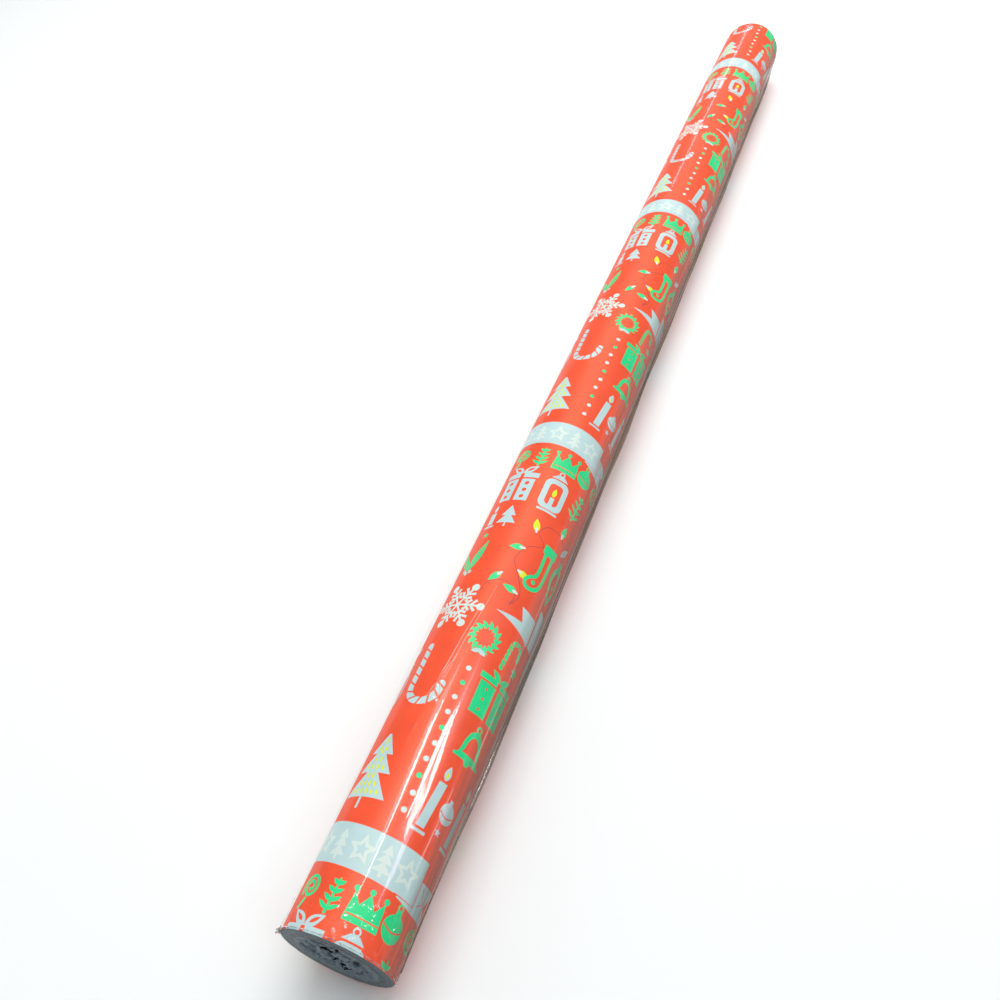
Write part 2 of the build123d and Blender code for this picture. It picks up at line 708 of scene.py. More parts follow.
def tidy(outline: Outline) -> Outline:
    """Drops points that repeat the one before.

    Args:
        outline: Its points in order.

    Returns:
        The outline without them.
    """
    kept: Outline = []
    for point in outline:
        if not kept or math.dist(point, kept[-1]) > 1e-4:
            kept.append(point)
    if math.dist(kept[0], kept[-1]) < 1e-4:
        kept.pop()
    return kept


def arc(
    centre: Point, r: float, start: float, end: float, steps: int = 12, squash: float = 1.0
) -> Outline:
    """Points along an arc.

    Args:
        centre: Its centre.
        r: Its radius.
        start: First angle, in degrees from +s towards +z.
        end: Last angle.
        steps: How many points.
        squash: How tall it is for its width.

    Returns:
        The points.
    """
    points = []
    for i in range(steps):
        a = math.radians(start + (end - start) * i / (steps - 1))
        points.append((centre[0] + r * math.cos(a), centre[1] + r * squash * math.sin(a)))
    return points


def ribbon(path: Outline, width: float, end_width: float) -> Outline:
    """The outline of a line drawn along path.

    Args:
        path: The points that it follows.
        width: Its width at the start.
        end_width: Its width at the end.

    Returns:
        The closed outline.
    """
    left, right = [], []
    for i, (s, z) in enumerate(path):
        before, after = path[max(0, i - 1)], path[min(len(path) - 1, i + 1)]
        ds, dz = after[0] - before[0], after[1] - before[1]
        long = math.hypot(ds, dz) or 1.0
        half = (width + (end_width - width) * i / (len(path) - 1)) / 2
        left.append((s - dz / long * half, z + ds / long * half))
        right.append((s + dz / long * half, z - ds / long * half))
    return tidy(left + right[::-1])


def curve(points: Outline, steps: int = 6) -> Outline:
    """A smooth line through the given points.

    Args:
        points: What the line goes through, in order.
        steps: Points drawn from one to the next.

    Returns:
        The line's points.
    """
    path = [points[0]] + list(points) + [points[-1]]
    out: Outline = []
    for i in range(1, len(path) - 2):
        p0, p1, p2, p3 = path[i - 1 : i + 3]
        for k in range(steps):
            t = k / steps
            out.append(tuple(
                0.5 * (2 * b + (c - a) * t + (2 * a - 5 * b + 4 * c - d) * t * t
                       + (3 * b - a - 3 * c + d) * t ** 3)
                for a, b, c, d in zip(p0, p1, p2, p3)
            ))
    out.append(points[-1])
    return out


def spiral(centre: Point, r0: float, r1: float, start: float, turns: float) -> Outline:
    """A curl that winds from radius r0 to r1 over the given turns, from start degrees.

    Args:
        centre: Its middle.
        r0: Its radius where it starts.
        r1: Its radius where it ends.
        start: The angle where it starts, in degrees.
        turns: How many times it goes round.

    Returns:
        The curl's points.
    """
    steps = int(16 * abs(turns)) + 4
    points = []
    for i in range(steps):
        t = i / (steps - 1)
        a = math.radians(start + 360.0 * turns * t)
        r = r0 + (r1 - r0) * t
        points.append((centre[0] + r * math.cos(a), centre[1] + r * math.sin(a)))
    return points


class FestivePrint(Artwork):
    """The seasonal print: ribbons, firs, snowflakes, parcels and lights on a red ground."""

    def draw(self) -> None:
        """Draws one repeat, from the near end up."""
        self.lower_row()
        self.banner()
        self.candle_pair()
        self.button_line()
        self.fir((-17.5, 41.0))
        self.candy_cane([(-19.4, 108.0), *arc((-13.2, 90.0), 6.2, 180.0, 350.0, 12), (-6.9, 92.4)],
                        3.0, Ink.PALE)
        self.ring(Ink.PALE, Ink.RED, (-28.2, 91.0), 3.1, 1.2, 2.3)
        self.box(Ink.PALE, -29.3, 98.0, -27.1, 100.0)
        self.ring(Ink.PALE, Ink.RED, (-28.2, 101.4), 1.3, 0.6)
        self.star((-27.8, 108.0), 2.4, 1.0, 5, Ink.PALE)
        self.bell((14.2, 76.0))
        self.parcel((14.2, 87.4))
        self.wreath((0.8, 116.6))
        self.candy_cane([(11.4, 109.4), (12.4, 119.4), *arc((15.2, 119.6), 2.8, 176.0, 10.0, 9),
                         (18.2, 117.0)], 2.0, Ink.MINT)
        self.star((19.4, 111.8), 2.6, 1.1, 5, Ink.MINT)
        self.ribbon_tail()
        self.snowflake((-16.0, 128.0), 11.5)
        self.string_of_lights()
        self.stocking()
        self.drop_bauble((21.2, 146.4), (21.2, 167.6), 8.4)
        self.holly()
        self.small_candle_and_fir()
        self.gift_box()
        self.lantern((2.4, 183.4))
        self.sprig((14.8, 189.0), (16.8, 203.4), 4, 4.4)

    def lower_row(self) -> None:
        """The row of green ornaments at the foot of the repeat."""
        self.stroke(Ink.MINT, spiral((-20.0, 13.6), 0.8, 4.2, 250.0, 1.9), 1.0, 1.2)
        self.stroke(Ink.MINT, [(-20.6, 9.6), (-22.2, 6.8)], 1.2)
        self.sprig((-10.0, 7.0), (-9.4, 17.8), 4, 4.0)
        self.area(Ink.MINT, [(-4.2, 7.0), (8.2, 7.0), (7.4, 16.4), (4.6, 12.6), (2.0, 16.8),
                             (-0.6, 12.6), (-3.2, 16.4)])
        for tip in ((-3.2, 17.0), (2.0, 17.5), (7.4, 17.0)):
            self.disc(Ink.MINT, tip, 1.0)
        self.stroke(Ink.RED, [(-3.6, 9.2), (7.8, 9.2)], 0.45)
        self.disc(Ink.MINT, (13.0, 11.2), 4.4)
        self.stroke(Ink.RED, curve([(8.8, 11.6), (13.0, 10.2), (17.2, 11.6)]), 0.5)
        self.box(Ink.MINT, 11.8, 15.2, 14.2, 16.8)
        self.ring(Ink.MINT, Ink.RED, (13.0, 17.8), 1.3, 0.6)
        self.stroke(Ink.MINT, spiral((24.4, 12.4), 1.0, 4.6, 100.0, 1.9), 0.9, 1.1)

    def banner(self) -> None:
        """The wide pale banner, a chain of ornaments on it, and its folded tail."""
        self.area(Ink.PALE, [(9.0, 19.9), (17.0, 18.2), (30.0, 17.6), (24.0, 23.2), (30.5, 29.0),
                             (17.0, 28.6)])
        self.area(Ink.PALE, [(-31.4, 22.6), (17.4, 20.0), (17.0, 34.6), (-31.4, 36.6)])
        self.stroke(Ink.RED, [(8.0, 20.6), (17.3, 20.1), (17.1, 33.8)], 0.35)
        self.stroke(Ink.RED, [(19.0, 21.4), (22.4, 23.3), (19.2, 27.4)], 0.35)
        for s, z in ((-24.6, 29.0), (-7.4, 28.3), (9.8, 27.4)):
            self.star((s, z), 5.2, 2.5, 5, Ink.WHITE)
            self.star((s, z), 2.6, 1.25, 5, Ink.PALE)
        for s, z in ((-16.0, 28.6), (1.2, 27.8)):
            for low, half in ((-3.9, 3.5), (-0.9, 2.8), (1.9, 2.0)):
                self.area(Ink.WHITE, [(s - half, z + low), (s + half, z + low), (s, z + low + 3.4)])
            self.box(Ink.WHITE, s - 0.6, z - 5.4, s + 0.6, z - 3.8)

    def candle_pair(self) -> None:
        """Two tall leaning candles in their holders, with a bauble between."""
        for s in (5.2, 20.2):
            self.box(Ink.PALE, s, 42.6, s + 3.4, 59.6, 1.9)
            self.box(Ink.PALE, s - 1.6, 40.6, s + 4.6, 41.7)
            self.petal(Ink.PALE, (s + 3.7, 60.3), (s + 4.1, 66.0), 2.9)
            self.petal(Ink.YELLOW, (s + 3.8, 61.2), (s + 4.0, 63.8), 1.1)
        self.disc(Ink.PALE, (15.3, 51.4), 3.7)
        self.stroke(Ink.RED, curve([(11.8, 51.2), (15.3, 50.0), (18.8, 51.2)]), 0.5)
        self.box(Ink.PALE, 14.4, 55.0, 16.2, 56.4)
        self.star((14.4, 44.4), 1.7, 0.7, 5, Ink.PALE)

    def star(self, centre: Point, r: float, waist: float, points: int, ink: Ink) -> None:
        """A star.

        Args:
            centre: Its centre.
            r: How far its points reach.
            waist: How far its notches are from the centre.
            points: How many points it has.
            ink: Its colour.
        """
        outline = []
        for i in range(2 * points):
            a = math.pi / 2 + math.pi * i / points
            reach = r if i % 2 == 0 else waist
            outline.append((centre[0] + reach * math.cos(a), centre[1] + reach * math.sin(a)))
        self.area(ink, outline)

    def button_line(self) -> None:
        """The line of white and green dots along the front."""
        for index in range(10):
            ink = Ink.MINT if index in (2, 5, 8) else Ink.WHITE
            self.disc(ink, (-0.2 + 0.35 * math.sin(index * 1.7), 45.0 + 6.33 * index), 1.05)

    def fir(self, foot: Point) -> None:
        """A fir tree of three tiers, each with rows of small flecks.

        Args:
            foot: The bottom of its trunk.
        """
        s, z = foot
        self.box(Ink.PALE, s - 0.55, z, s + 0.55, z + 5.0)
        tiers = ((4.2, 9.8, 12.0), (13.4, 7.6, 9.8), (20.6, 5.2, 8.0))
        for low, half, tall in tiers:
            self.area(Ink.PALE, [(s - half, z + low), (s + half, z + low), (s + 0.5, z + low + tall),
                                 (s - 0.5, z + low + tall)])
        for low, half, tall in tiers:
            for row in range(3 if tall > 9.0 else 2):
                height = low + 2.0 + row * 2.9
                wide = half * (1.0 - (height - low) / tall) - 1.2
                count = max(1, round(wide / 1.15))
                for i in range(count):
                    across = (i + 0.5) / count * 2.0 - 1.0
                    at = s + across * wide
                    self.petal(Ink.YELLOW, (at - 0.3 * across, z + height + 1.2),
                               (at + 0.3 * across, z + height - 1.2), 1.15)

    def candy_cane(self, path: Outline, width: float, ink: Ink) -> None:
        """A candy cane with slanting red stripes.

        Args:
            path: Its middle line.
            width: Its thickness.
            ink: Its colour.
        """
        self.stroke(ink, path, width)
        to_stripe = 0.6 * width
        for (s0, z0), (s1, z1) in zip(path, path[1:]):
            long = math.dist((s0, z0), (s1, z1))
            run, rise = (s1 - s0) / long * width, (z1 - z0) / long * width
            while to_stripe < long:
                t = to_stripe / long
                s, z = s0 + (s1 - s0) * t, z0 + (z1 - z0) * t
                across, up = -0.6 * rise + 0.35 * run, 0.6 * run + 0.35 * rise
                self.area(Ink.RED, ribbon([(s - across, z - up), (s + across, z + up)],
                                          width * 0.24, width * 0.24))
                to_stripe += 1.25 * width
            to_stripe -= long

    def bell(self, centre: Point) -> None:
        """An open bell with its clapper and loop.

        Args:
            centre: Its centre.
        """
        s, z = centre

        def body(size: float) -> Outline:
            """Draws the bell's outline.

            Args:
                size: Its size, 1 being full size.

            Returns:
                The outline.
            """
            side = [(6.6, -4.8), (5.2, -3.0), (4.5, 1.6), (3.2, 4.8), (1.0, 6.4)]
            right = [(s + a * size, z + b * size) for a, b in side]
            left = [(s - a * size, z + b * size) for a, b in reversed(side)]
            return right + left

        self.area(Ink.MINT, body(1.0))
        self.area(Ink.RED, body(0.62))
        self.disc(Ink.MINT, (s, z - 5.6), 1.5)
        self.ring(Ink.MINT, Ink.RED, (s, z + 7.4), 1.5, 0.7)
        self.box(Ink.MINT, s - 7.2, z - 5.4, s + 7.2, z - 4.2)

    def parcel(self, foot: Point) -> None:
        """A solid parcel with a lid, a red ribbon and a bow.

        Args:
            foot: The middle of its bottom edge.
        """
        s, z = foot
        self.box(Ink.MINT, s - 8.4, z, s + 8.4, z + 13.4)
        self.box(Ink.MINT, s - 9.4, z + 14.2, s + 9.4, z + 16.6)
        self.box(Ink.RED, s - 0.9, z - 0.1, s + 0.9, z + 16.7)
        for side in (-1.0, 1.0):
            for k in range(3):
                self.disc(Ink.RED, (s + side * 4.8, z + 2.4 + 4.2 * k), 0.55)
            self.petal(Ink.MINT, (s, z + 16.4), (s + side * 5.2, z + 19.6), 2.6)

    def wreath(self, centre: Point) -> None:
        """A leafy wreath with a bow.

        Args:
            centre: Its centre.
        """
        s, z = centre
        self.ring(Ink.MINT, Ink.RED, centre, 5.3, 1.1, 1.08)
        for k in range(14):
            a = math.radians(90.0 + 360.0 * (k + 0.5) / 14)
            base = (s + 4.9 * math.cos(a), z + 5.3 * math.sin(a))
            for reach, turn in ((6.9, 0.30), (3.3, 0.28)):
                tip = (s + reach * math.cos(a + turn), z + reach * 1.08 * math.sin(a + turn))
                self.petal(Ink.MINT, base, tip, 1.15)
        for side in (-1.0, 1.0):
            self.petal(Ink.PALE, (s, z - 6.0), (s + side * 3.0, z - 7.4), 1.9)
        self.disc(Ink.PALE, (s, z - 6.0), 0.8)

    def ribbon_tail(self) -> None:
        """The swallow tail of a second banner and its fold."""
        self.area(Ink.PALE, [(0.0, 130.0), (20.2, 125.2), (19.6, 136.8), (9.6, 137.4), (12.4, 131.4)])
        self.area(Ink.PALE, [(20.9, 125.6), (29.0, 126.6), (29.0, 143.0), (20.4, 143.8)])

    def snowflake(self, centre: Point, r: float) -> None:
        """A six-armed snowflake with round tips.

        Args:
            centre: Its centre.
            r: Its arms' length.
        """
        for arm in range(6):
            a = math.radians(60.0 * arm + 2.0)
            out, side = (math.cos(a), math.sin(a)), (-math.sin(a), math.cos(a))

            def at(along: float, across: float) -> Point:
                """A point along this arm and to its side."""
                return (centre[0] + out[0] * along + side[0] * across,
                        centre[1] + out[1] * along + side[1] * across)

            self.area(Ink.WHITE, ribbon([at(0.0, 0.0), at(r * 0.82, 0.0)], 0.9, 1.0))
            self.disc(Ink.WHITE, at(r * 0.88, 0.0), 1.7)
            for sign in (-1.0, 1.0):
                for reach, start in ((0.70, 0.50), (0.50, 0.30)):
                    arm_tip = at(r * reach, sign * r * 0.23)
                    self.area(Ink.WHITE, ribbon([at(r * start, 0.0), arm_tip], 0.8, 1.3))
            b = math.radians(60.0 * arm + 32.0)
            dot = (centre[0] + r * 0.34 * math.cos(b), centre[1] + r * 0.34 * math.sin(b))
            self.disc(Ink.WHITE, dot, 0.8)

    def bulb(self, ink: Ink, cap: Point, tip: Point) -> None:
        """A coloured bulb with a small white cap.

        Args:
            ink: Its colour.
            cap: Where it hangs from.
            tip: Its far end.
        """
        self.petal(ink, cap, tip, 3.1)
        along = 0.24
        neck = (cap[0] + (tip[0] - cap[0]) * along, cap[1] + (tip[1] - cap[1]) * along)
        self.stroke(Ink.WHITE, [cap, neck], 1.0, 1.3)

    def string_of_lights(self) -> None:
        """The coloured bulbs and the thin wire that they hang on."""
        wire = [(-9.0, 136.0), (-7.4, 141.0), (-1.0, 143.6), (4.6, 139.6), (4.0, 134.6), (6.4, 140.6),
                (3.0, 147.6), (-1.4, 155.0), (1.4, 163.0), (7.6, 167.0), (3.6, 172.0), (6.0, 177.0),
                (13.2, 177.6), (18.0, 174.6)]
        self.area(Ink.LINE, ribbon(curve(wire, 7), 0.22, 0.22))
        self.bulb(Ink.MINT, (-4.0, 146.8), (-8.0, 141.4))
        self.bulb(Ink.MINT, (5.0, 140.6), (-1.6, 141.8))
        self.bulb(Ink.YELLOW, (1.8, 150.6), (7.4, 148.8))
        self.bulb(Ink.MINT, (0.4, 161.8), (-6.0, 160.4))
        self.bulb(Ink.YELLOW, (2.0, 171.8), (0.2, 178.4))
        self.bulb(Ink.MINT, (14.0, 177.4), (14.6, 184.0))
        self.bulb(Ink.PALE, (21.6, 176.4), (17.6, 170.4))

    def stocking(self) -> None:
        """A hanging stocking in outline, with a solid cuff."""
        outer = curve([(14.8, 165.0), (14.5, 152.4), (13.0, 147.4), (9.6, 145.2), (6.2, 145.6),
                       (4.9, 148.6), (6.6, 151.4), (9.2, 154.4), (9.2, 165.0)])
        inner = curve([(13.3, 165.0), (13.0, 152.8), (11.9, 148.8), (9.4, 146.9), (7.1, 147.1),
                       (6.5, 148.6), (7.6, 150.3), (10.7, 153.6), (10.8, 165.0)])
        self.area(Ink.MINT, outer)
        self.area(Ink.RED, inner)
        self.box(Ink.MINT, 8.3, 165.0, 15.6, 169.4)
        self.disc(Ink.MINT, (9.6, 149.6), 1.0)

    def drop_bauble(self, foot: Point, top: Point, width: float) -> None:
        """A long drop-shaped bauble in outline, with a cap.

        Args:
            foot: Its lower tip.
            top: Its upper tip.
            width: Its width.
        """
        self.petal(Ink.MINT, top, foot, width)
        self.petal(Ink.RED, (top[0], top[1] - 3.4), (foot[0], foot[1] + 2.6), width - 3.2)
        middle = (foot[0], (foot[1] + top[1]) / 2 - 1.0)
        self.star(middle, 1.6, 0.7, 5, Ink.MINT)
        self.box(Ink.MINT, top[0] - 1.3, top[1] - 0.6, top[0] + 1.3, top[1] + 1.4)

    def holly(self) -> None:
        """Two long holly leaves with red veins, and their berries."""
        self.petal(Ink.MINT, (-20.2, 146.0), (-15.8, 162.6), 4.2)
        self.petal(Ink.MINT, (-20.6, 146.0), (-28.4, 158.6), 3.4)
        self.stroke(Ink.RED, [(-19.6, 148.6), (-16.4, 160.4)], 0.35)
        self.stroke(Ink.RED, [(-21.6, 147.8), (-27.2, 156.8)], 0.35)
        for berry in ((-20.6, 144.8), (-18.6, 145.6), (-22.2, 146.0)):
            self.disc(Ink.PALE, berry, 0.95)
        self.star((-19.4, 165.6), 1.7, 0.75, 5, Ink.MINT)

    def small_candle_and_fir(self) -> None:
        """A short candle in its holder beside a small fir."""
        self.box(Ink.PALE, -22.3, 172.0, -19.3, 178.6)
        self.box(Ink.PALE, -23.6, 170.2, -18.0, 171.3)
        self.petal(Ink.PALE, (-20.8, 179.2), (-20.7, 183.2), 2.2)
        self.box(Ink.PALE, -12.9, 170.2, -12.1, 173.0)
        for low, half, tall in ((172.4, 4.6, 6.0), (176.6, 3.4, 5.8)):
            self.area(Ink.PALE, [(-12.5 - half, low), (-12.5 + half, low), (-12.5, low + tall)])

    def gift_box(self) -> None:
        """A white gift box with a lid, spots, a ribbon and a bow."""
        self.box(Ink.PALE, -22.2, 185.6, -7.8, 198.6)
        self.box(Ink.PALE, -23.2, 199.5, -6.8, 202.4)
        self.box(Ink.RED, -15.9, 185.5, -14.1, 202.5)
        for side in (-1.0, 1.0):
            for k in range(3):
                self.disc(Ink.RED, (-15.0 + side * 4.1, 188.0 + 4.0 * k), 1.05)
            self.petal(Ink.PALE, (-15.0, 202.2), (-15.0 + side * 6.4, 206.6), 3.6)
            self.petal(Ink.RED, (-15.0 + side * 1.6, 203.4), (-15.0 + side * 5.0, 205.7), 1.3)

    def lantern(self, foot: Point) -> None:
        """A rounded lantern with a flame in it.

        Args:
            foot: The middle of its bottom edge.
        """
        s, z = foot

        def case(half: float, low: float, high: float, r: float) -> Outline:
            """Draws a box with round corners.

            Args:
                half: Half of its width.
                low: Its bottom edge.
                high: Its top edge.
                r: Its corners' radius.

            Returns:
                The outline.
            """
            outline = arc((s + half - r, high - r), r, 0.0, 90.0, 6)
            outline += arc((s - half + r, high - r), r, 90.0, 180.0, 6)
            outline += arc((s - half + r, low + r), r, 180.0, 270.0, 6)
            return tidy(outline + arc((s + half - r, low + r), r, 270.0, 360.0, 6))

        self.area(Ink.PALE, case(5.6, z + 1.6, z + 18.6, 3.4))
        self.area(Ink.RED, case(3.1, z + 4.2, z + 16.0, 1.8))
        self.box(Ink.PALE, s - 4.8, z, s + 4.8, z + 1.2)
        self.area(Ink.PALE, [(s - 4.0, z + 19.3), (s + 4.0, z + 19.3), (s + 1.6, z + 21.4),
                             (s - 1.6, z + 21.4)])
        self.ring(Ink.PALE, Ink.RED, (s, z + 22.4), 1.4, 0.6)
        self.box(Ink.PALE, s - 1.0, z + 4.0, s + 1.0, z + 8.4)
        self.petal(Ink.YELLOW, (s, z + 8.8), (s + 0.2, z + 13.8), 2.1)

    def sprig(self, foot: Point, tip: Point, pairs: int, reach: float) -> None:
        """A green sprig with pairs of narrow leaves.

        Args:
            foot: The bottom of its stem.
            tip: The top of its stem.
            pairs: How many pairs of leaves it has.
            reach: How far the lowest leaves stand out.
        """
        self.stroke(Ink.MINT, [foot, tip], 1.1, 0.7)
        for k in range(pairs):
            t = (k + 0.35) / pairs
            at = (foot[0] + (tip[0] - foot[0]) * t, foot[1] + (tip[1] - foot[1]) * t)
            out = reach * (1.0 - 0.5 * t)
            for side in (-1.0, 1.0):
                self.petal(Ink.MINT, at, (at[0] + side * out, at[1] + out * 0.62), 1.5)


@dataclass
class PrintedSheet:
    """The sheet's last turn, printed on its outside, with its free edge."""

    sizes: RollSizes
    repeat_mm: float = 200.4
    columns: int = 108
    row_mm: float = 12.0
    thickness: float = 0.08 * MM
    edge_step: float = 0.16 * MM
    free_edge: float = math.radians(220.0)
    inks: tuple[PrintedInk, ...] = (
        PrintedInk("red_ink", (0.96, 0.088, 0.026), 0.05),
        PrintedInk("pale_ink", (0.53, 0.70, 0.72), 0.03),
        PrintedInk("mint_ink", (0.008, 0.74, 0.27), 0.05),
        PrintedInk("yellow_ink", (0.78, 0.84, 0.01), 0.04),
        PrintedInk("white_ink", (0.70, 0.80, 0.76), 0.03),
        PrintedInk("wire_ink", (0.30, 0.045, 0.075), 0.05),
    )

    def strip(self) -> tuple[float, float]:
        """The sheet's start and end round the roll from the front line, in millimetres."""
        round_mm = FULL_TURN * self.sizes.sheet_r / MM
        start = (self.free_edge - FULL_TURN - FRONT_ANGLE) * self.sizes.sheet_r / MM
        return start, start + round_mm

    def artwork(self) -> list[tuple[Ink, Outline]]:
        """One repeat's shapes, with the neighbours that reach into it.

        Returns:
            Shapes in painting order. The back of the roll has the same print, half a repeat on.
        """
        design = FestivePrint()
        design.draw()
        round_mm = FULL_TURN * self.sizes.sheet_r / MM
        low, high = self.strip()
        placed = []
        for ink, outline in design.shapes:
            for turn, shift in ((0.0, 0.0), (0.5, 0.5), (-0.5, 0.5), (-1.0, 0.0)):
                for lap in (-1, 0, 1):
                    moved = [(s + turn * round_mm, z + (shift + lap) * self.repeat_mm)
                             for s, z in outline]
                    across = [p[0] for p in moved]
                    along = [p[1] for p in moved]
                    if max(across) < low or min(across) > high:
                        continue
                    if max(along) < 0.0 or min(along) > self.repeat_mm:
                        continue
                    placed.append((ink, moved))
        return placed

    def flat_tile(self) -> tuple[list[Point], list[tuple[tuple[int, ...], int]]]:
        """Cuts one repeat of the flat sheet along every printed edge.

        Returns:
            Its points in millimetres, and its triangles with their ink's number.
        """
        low, high = self.strip()
        last = self.sizes.half_length * 2 / MM - 3 * self.repeat_mm
        points: list[Vector] = []
        edges: list[tuple[int, int]] = []
        faces: list[list[int]] = []

        def line(a: Point, b: Point) -> None:
            """Adds one line to the cut."""
            points.extend((Vector(a), Vector(b)))
            edges.append((len(points) - 2, len(points) - 1))

        for i in range(self.columns + 1):
            s = low + (high - low) * i / self.columns
            line((s, 0.0), (s, self.repeat_mm))
        rows = [self.row_mm * i for i in range(1, int(self.repeat_mm / self.row_mm) + 1)]
        for z in (0.0, *rows, last, self.repeat_mm):
            line((low, z), (high, z))
        inks = []
        for ink, outline in self.artwork():
            twice = sum(a[0] * b[1] - b[0] * a[1] for a, b in zip(outline, outline[1:] + outline[:1]))
            ordered = outline if twice > 0 else outline[::-1]
            faces.append(list(range(len(points), len(points) + len(ordered))))
            points.extend(Vector(p) for p in ordered)
            inks.append(ink.value)
        out, _, triangles, _, _, sources = delaunay_2d_cdt(points, edges, faces, 0, 1e-5)
        kept = []
        for triangle, source in zip(triangles, sources):
            s = sum(out[i][0] for i in triangle) / 3
            z = sum(out[i][1] for i in triangle) / 3
            if low < s < high and 0.0 < z < self.repeat_mm:
                kept.append((tuple(triangle), inks[max(source)] if source else Ink.RED.value))
        return [(p[0], p[1]) for p in out], kept

    def radius_at(self, s: float) -> float:
        """The printed face's distance from the axis: the sheet rises over its own start."""
        low, high = self.strip()
        t = (s - low) / (high - low)
        return self.sizes.sheet_r - self.edge_step * (1.0 - t)

    def build(self) -> bpy.types.Object:
        """Rolls the print round the roll and gives the sheet its edges.

        Returns:
            The sheet.
        """
        flat, triangles = self.flat_tile()
        half = self.sizes.half_length
        length_mm = half * 2 / MM
        index: dict[tuple[float, float], int] = {}
        points, normals, faces, inks = [], [], [], []

        def corner(s: float, z: float) -> int:
            """Finds the corner at a place, and makes it when it is first asked for.

            Args:
                s: Distance round the sheet from the front line, in millimetres.
                z: Distance from the near end, in millimetres.

            Returns:
                The number of the corner.
            """
            key = (round(s, 3), round(z, 3))
            if key not in index:
                index[key] = len(points)
                points.append(on_roll(s * MM, z * MM - half, self.radius_at(s)))
                normals.append(Vector(on_roll(s * MM, 0.0, 1.0)))
            return index[key]

        for tile in range(4):
            lift = tile * self.repeat_mm
            for triangle, ink in triangles:
                z = sum(flat[i][1] for i in triangle) / 3 + lift
                if z < length_mm:
                    ring = [corner(flat[i][0], min(flat[i][1] + lift, length_mm)) for i in triangle]
                    if len(set(ring)) == 3:
                        faces.append(ring)
                        inks.append(ink)
        printed = len(points)
        self.add_back(points, normals, faces, inks)
        piece = mesh_piece("printed_sheet", points, faces)
        mesh = piece.data
        mesh.polygons.foreach_set("material_index", inks[: len(mesh.polygons)])
        mesh.normals_split_custom_set_from_vertices(normals)
        LOG.info("printed sheet: %d printed points, %d faces", printed, len(faces))
        return piece

    def add_back(self, points: list, normals: list, faces: list, inks: list) -> None:
        """Adds the sheet's white back and its four cut edges to the mesh lists.

        Args:
            points: The mesh's points, added to.
            normals: A normal for each point, added to.
            faces: The mesh's faces, added to.
            inks: Each face's ink number, added to.
        """
        low, high = self.strip()
        half = self.sizes.half_length
        white = len(self.inks)
        rings = []
        for i in range(self.columns + 1):
            s = low + (high - low) * i / self.columns
            outer = self.radius_at(s)
            for x in (-half, half):
                for r in (outer, outer - self.thickness):
                    points.append(on_roll(s * MM, x, r))
                    normals.append(-Vector(on_roll(s * MM, 0.0, 1.0)))
            rings.append(len(points) - 4)
        for a, b in zip(rings, rings[1:]):
            faces.extend(([a + 1, a + 3, b + 3, b + 1], [a, a + 1, b + 1, b], [a + 2, b + 2, b + 3, a + 3]))
            inks.extend((white, white, white))
        for a in (rings[0], rings[-1]):
            faces.append([a, a + 1, a + 3, a + 2])
            inks.append(white)

    def dress(self, piece: bpy.types.Object) -> None:
        """Gives the sheet its inks and puts it in the part.

        Args:
            piece: What build() made.
        """
        for ink in self.inks:
            piece.data.materials.append(ink.material())
        piece.data.materials.append(PrintedInk("sheet_back", (0.78, 0.78, 0.75), 0.03, 0.7).material())
        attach(piece, "paper_roll")
        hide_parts("outer_turn")


# ---------------------------------------------------------------------------
# The wound sheet and the core
# ---------------------------------------------------------------------------


@dataclass
class WoundSheet:
    """All the turns under the last one, whose cut edges show at both ends."""

    sizes: RollSizes
    bands: int = 26
    unevenness: float = 0.22 * MM
    segments: int = 144

    def profile(self) -> list[tuple[float, float]]:
        """Half the outline of the wound turns.

        Returns:
            Places (x, r) from the bore, across the far end, along the outside.
        """
        inner, outer = self.sizes.wound_bore_r, self.sizes.wound_r
        half = self.sizes.half_length
        places = []
        for i in range(self.bands):
            r0 = inner + (outer - inner) * i / self.bands
            r1 = inner + (outer - inner) * (i + 1) / self.bands
            back = self.unevenness * abs(noise.noise(Vector((i * 0.73, 4.1, 0.0))))
            soft = (r1 - r0) * 0.18
            places += [(half - back, r0 + soft), (half - back, r1 - soft)]
        return places

    def build(self) -> bpy.types.Object:
        """Turns the outline round the axis.

        Returns:
            The wound sheet.
        """
        end = self.profile()
        outline = [(-x, r) for x, r in end] + [(x, r) for x, r in reversed(end)]
        points, faces = [], []
        for i in range(self.segments):
            a = FULL_TURN * i / self.segments
            points += [(x, r * math.cos(a), r * math.sin(a)) for x, r in outline]
        count = len(outline)
        for i in range(self.segments):
            this, after = i * count, (i + 1) % self.segments * count
            for k in range(count):
                n = (k + 1) % count
                faces.append((this + k, after + k, after + n, this + n))
        return mesh_piece("wound_sheet", points, faces, smooth=False)

    def dress(self, piece: bpy.types.Object) -> None:
        """Gives the cut edges their banded finish, dark as painted shade, and puts them in the part.

        Args:
            piece: What build() made.
        """
        piece.data.materials.append(PaperEdgeWithPaintedShade().material())
        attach(piece, "paper_roll")
        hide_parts("wound_paper")


@dataclass
class BoardCore:
    """The three plies of the core, each with its own spiral seam."""

    plies: tuple[str, ...] = ("core_inner_ply", "core_middle_ply", "core_outer_ply")

    def dress(self) -> None:
        """Gives each ply its board finish."""
        for index, name in enumerate(self.plies):
            board = CoreBoard("board_" + name, pitch=0.072, lead=0.31 * index)
            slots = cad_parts[name].data.materials
            slots.clear()
            slots.append(board.material())


# ---------------------------------------------------------------------------
# The film
# ---------------------------------------------------------------------------


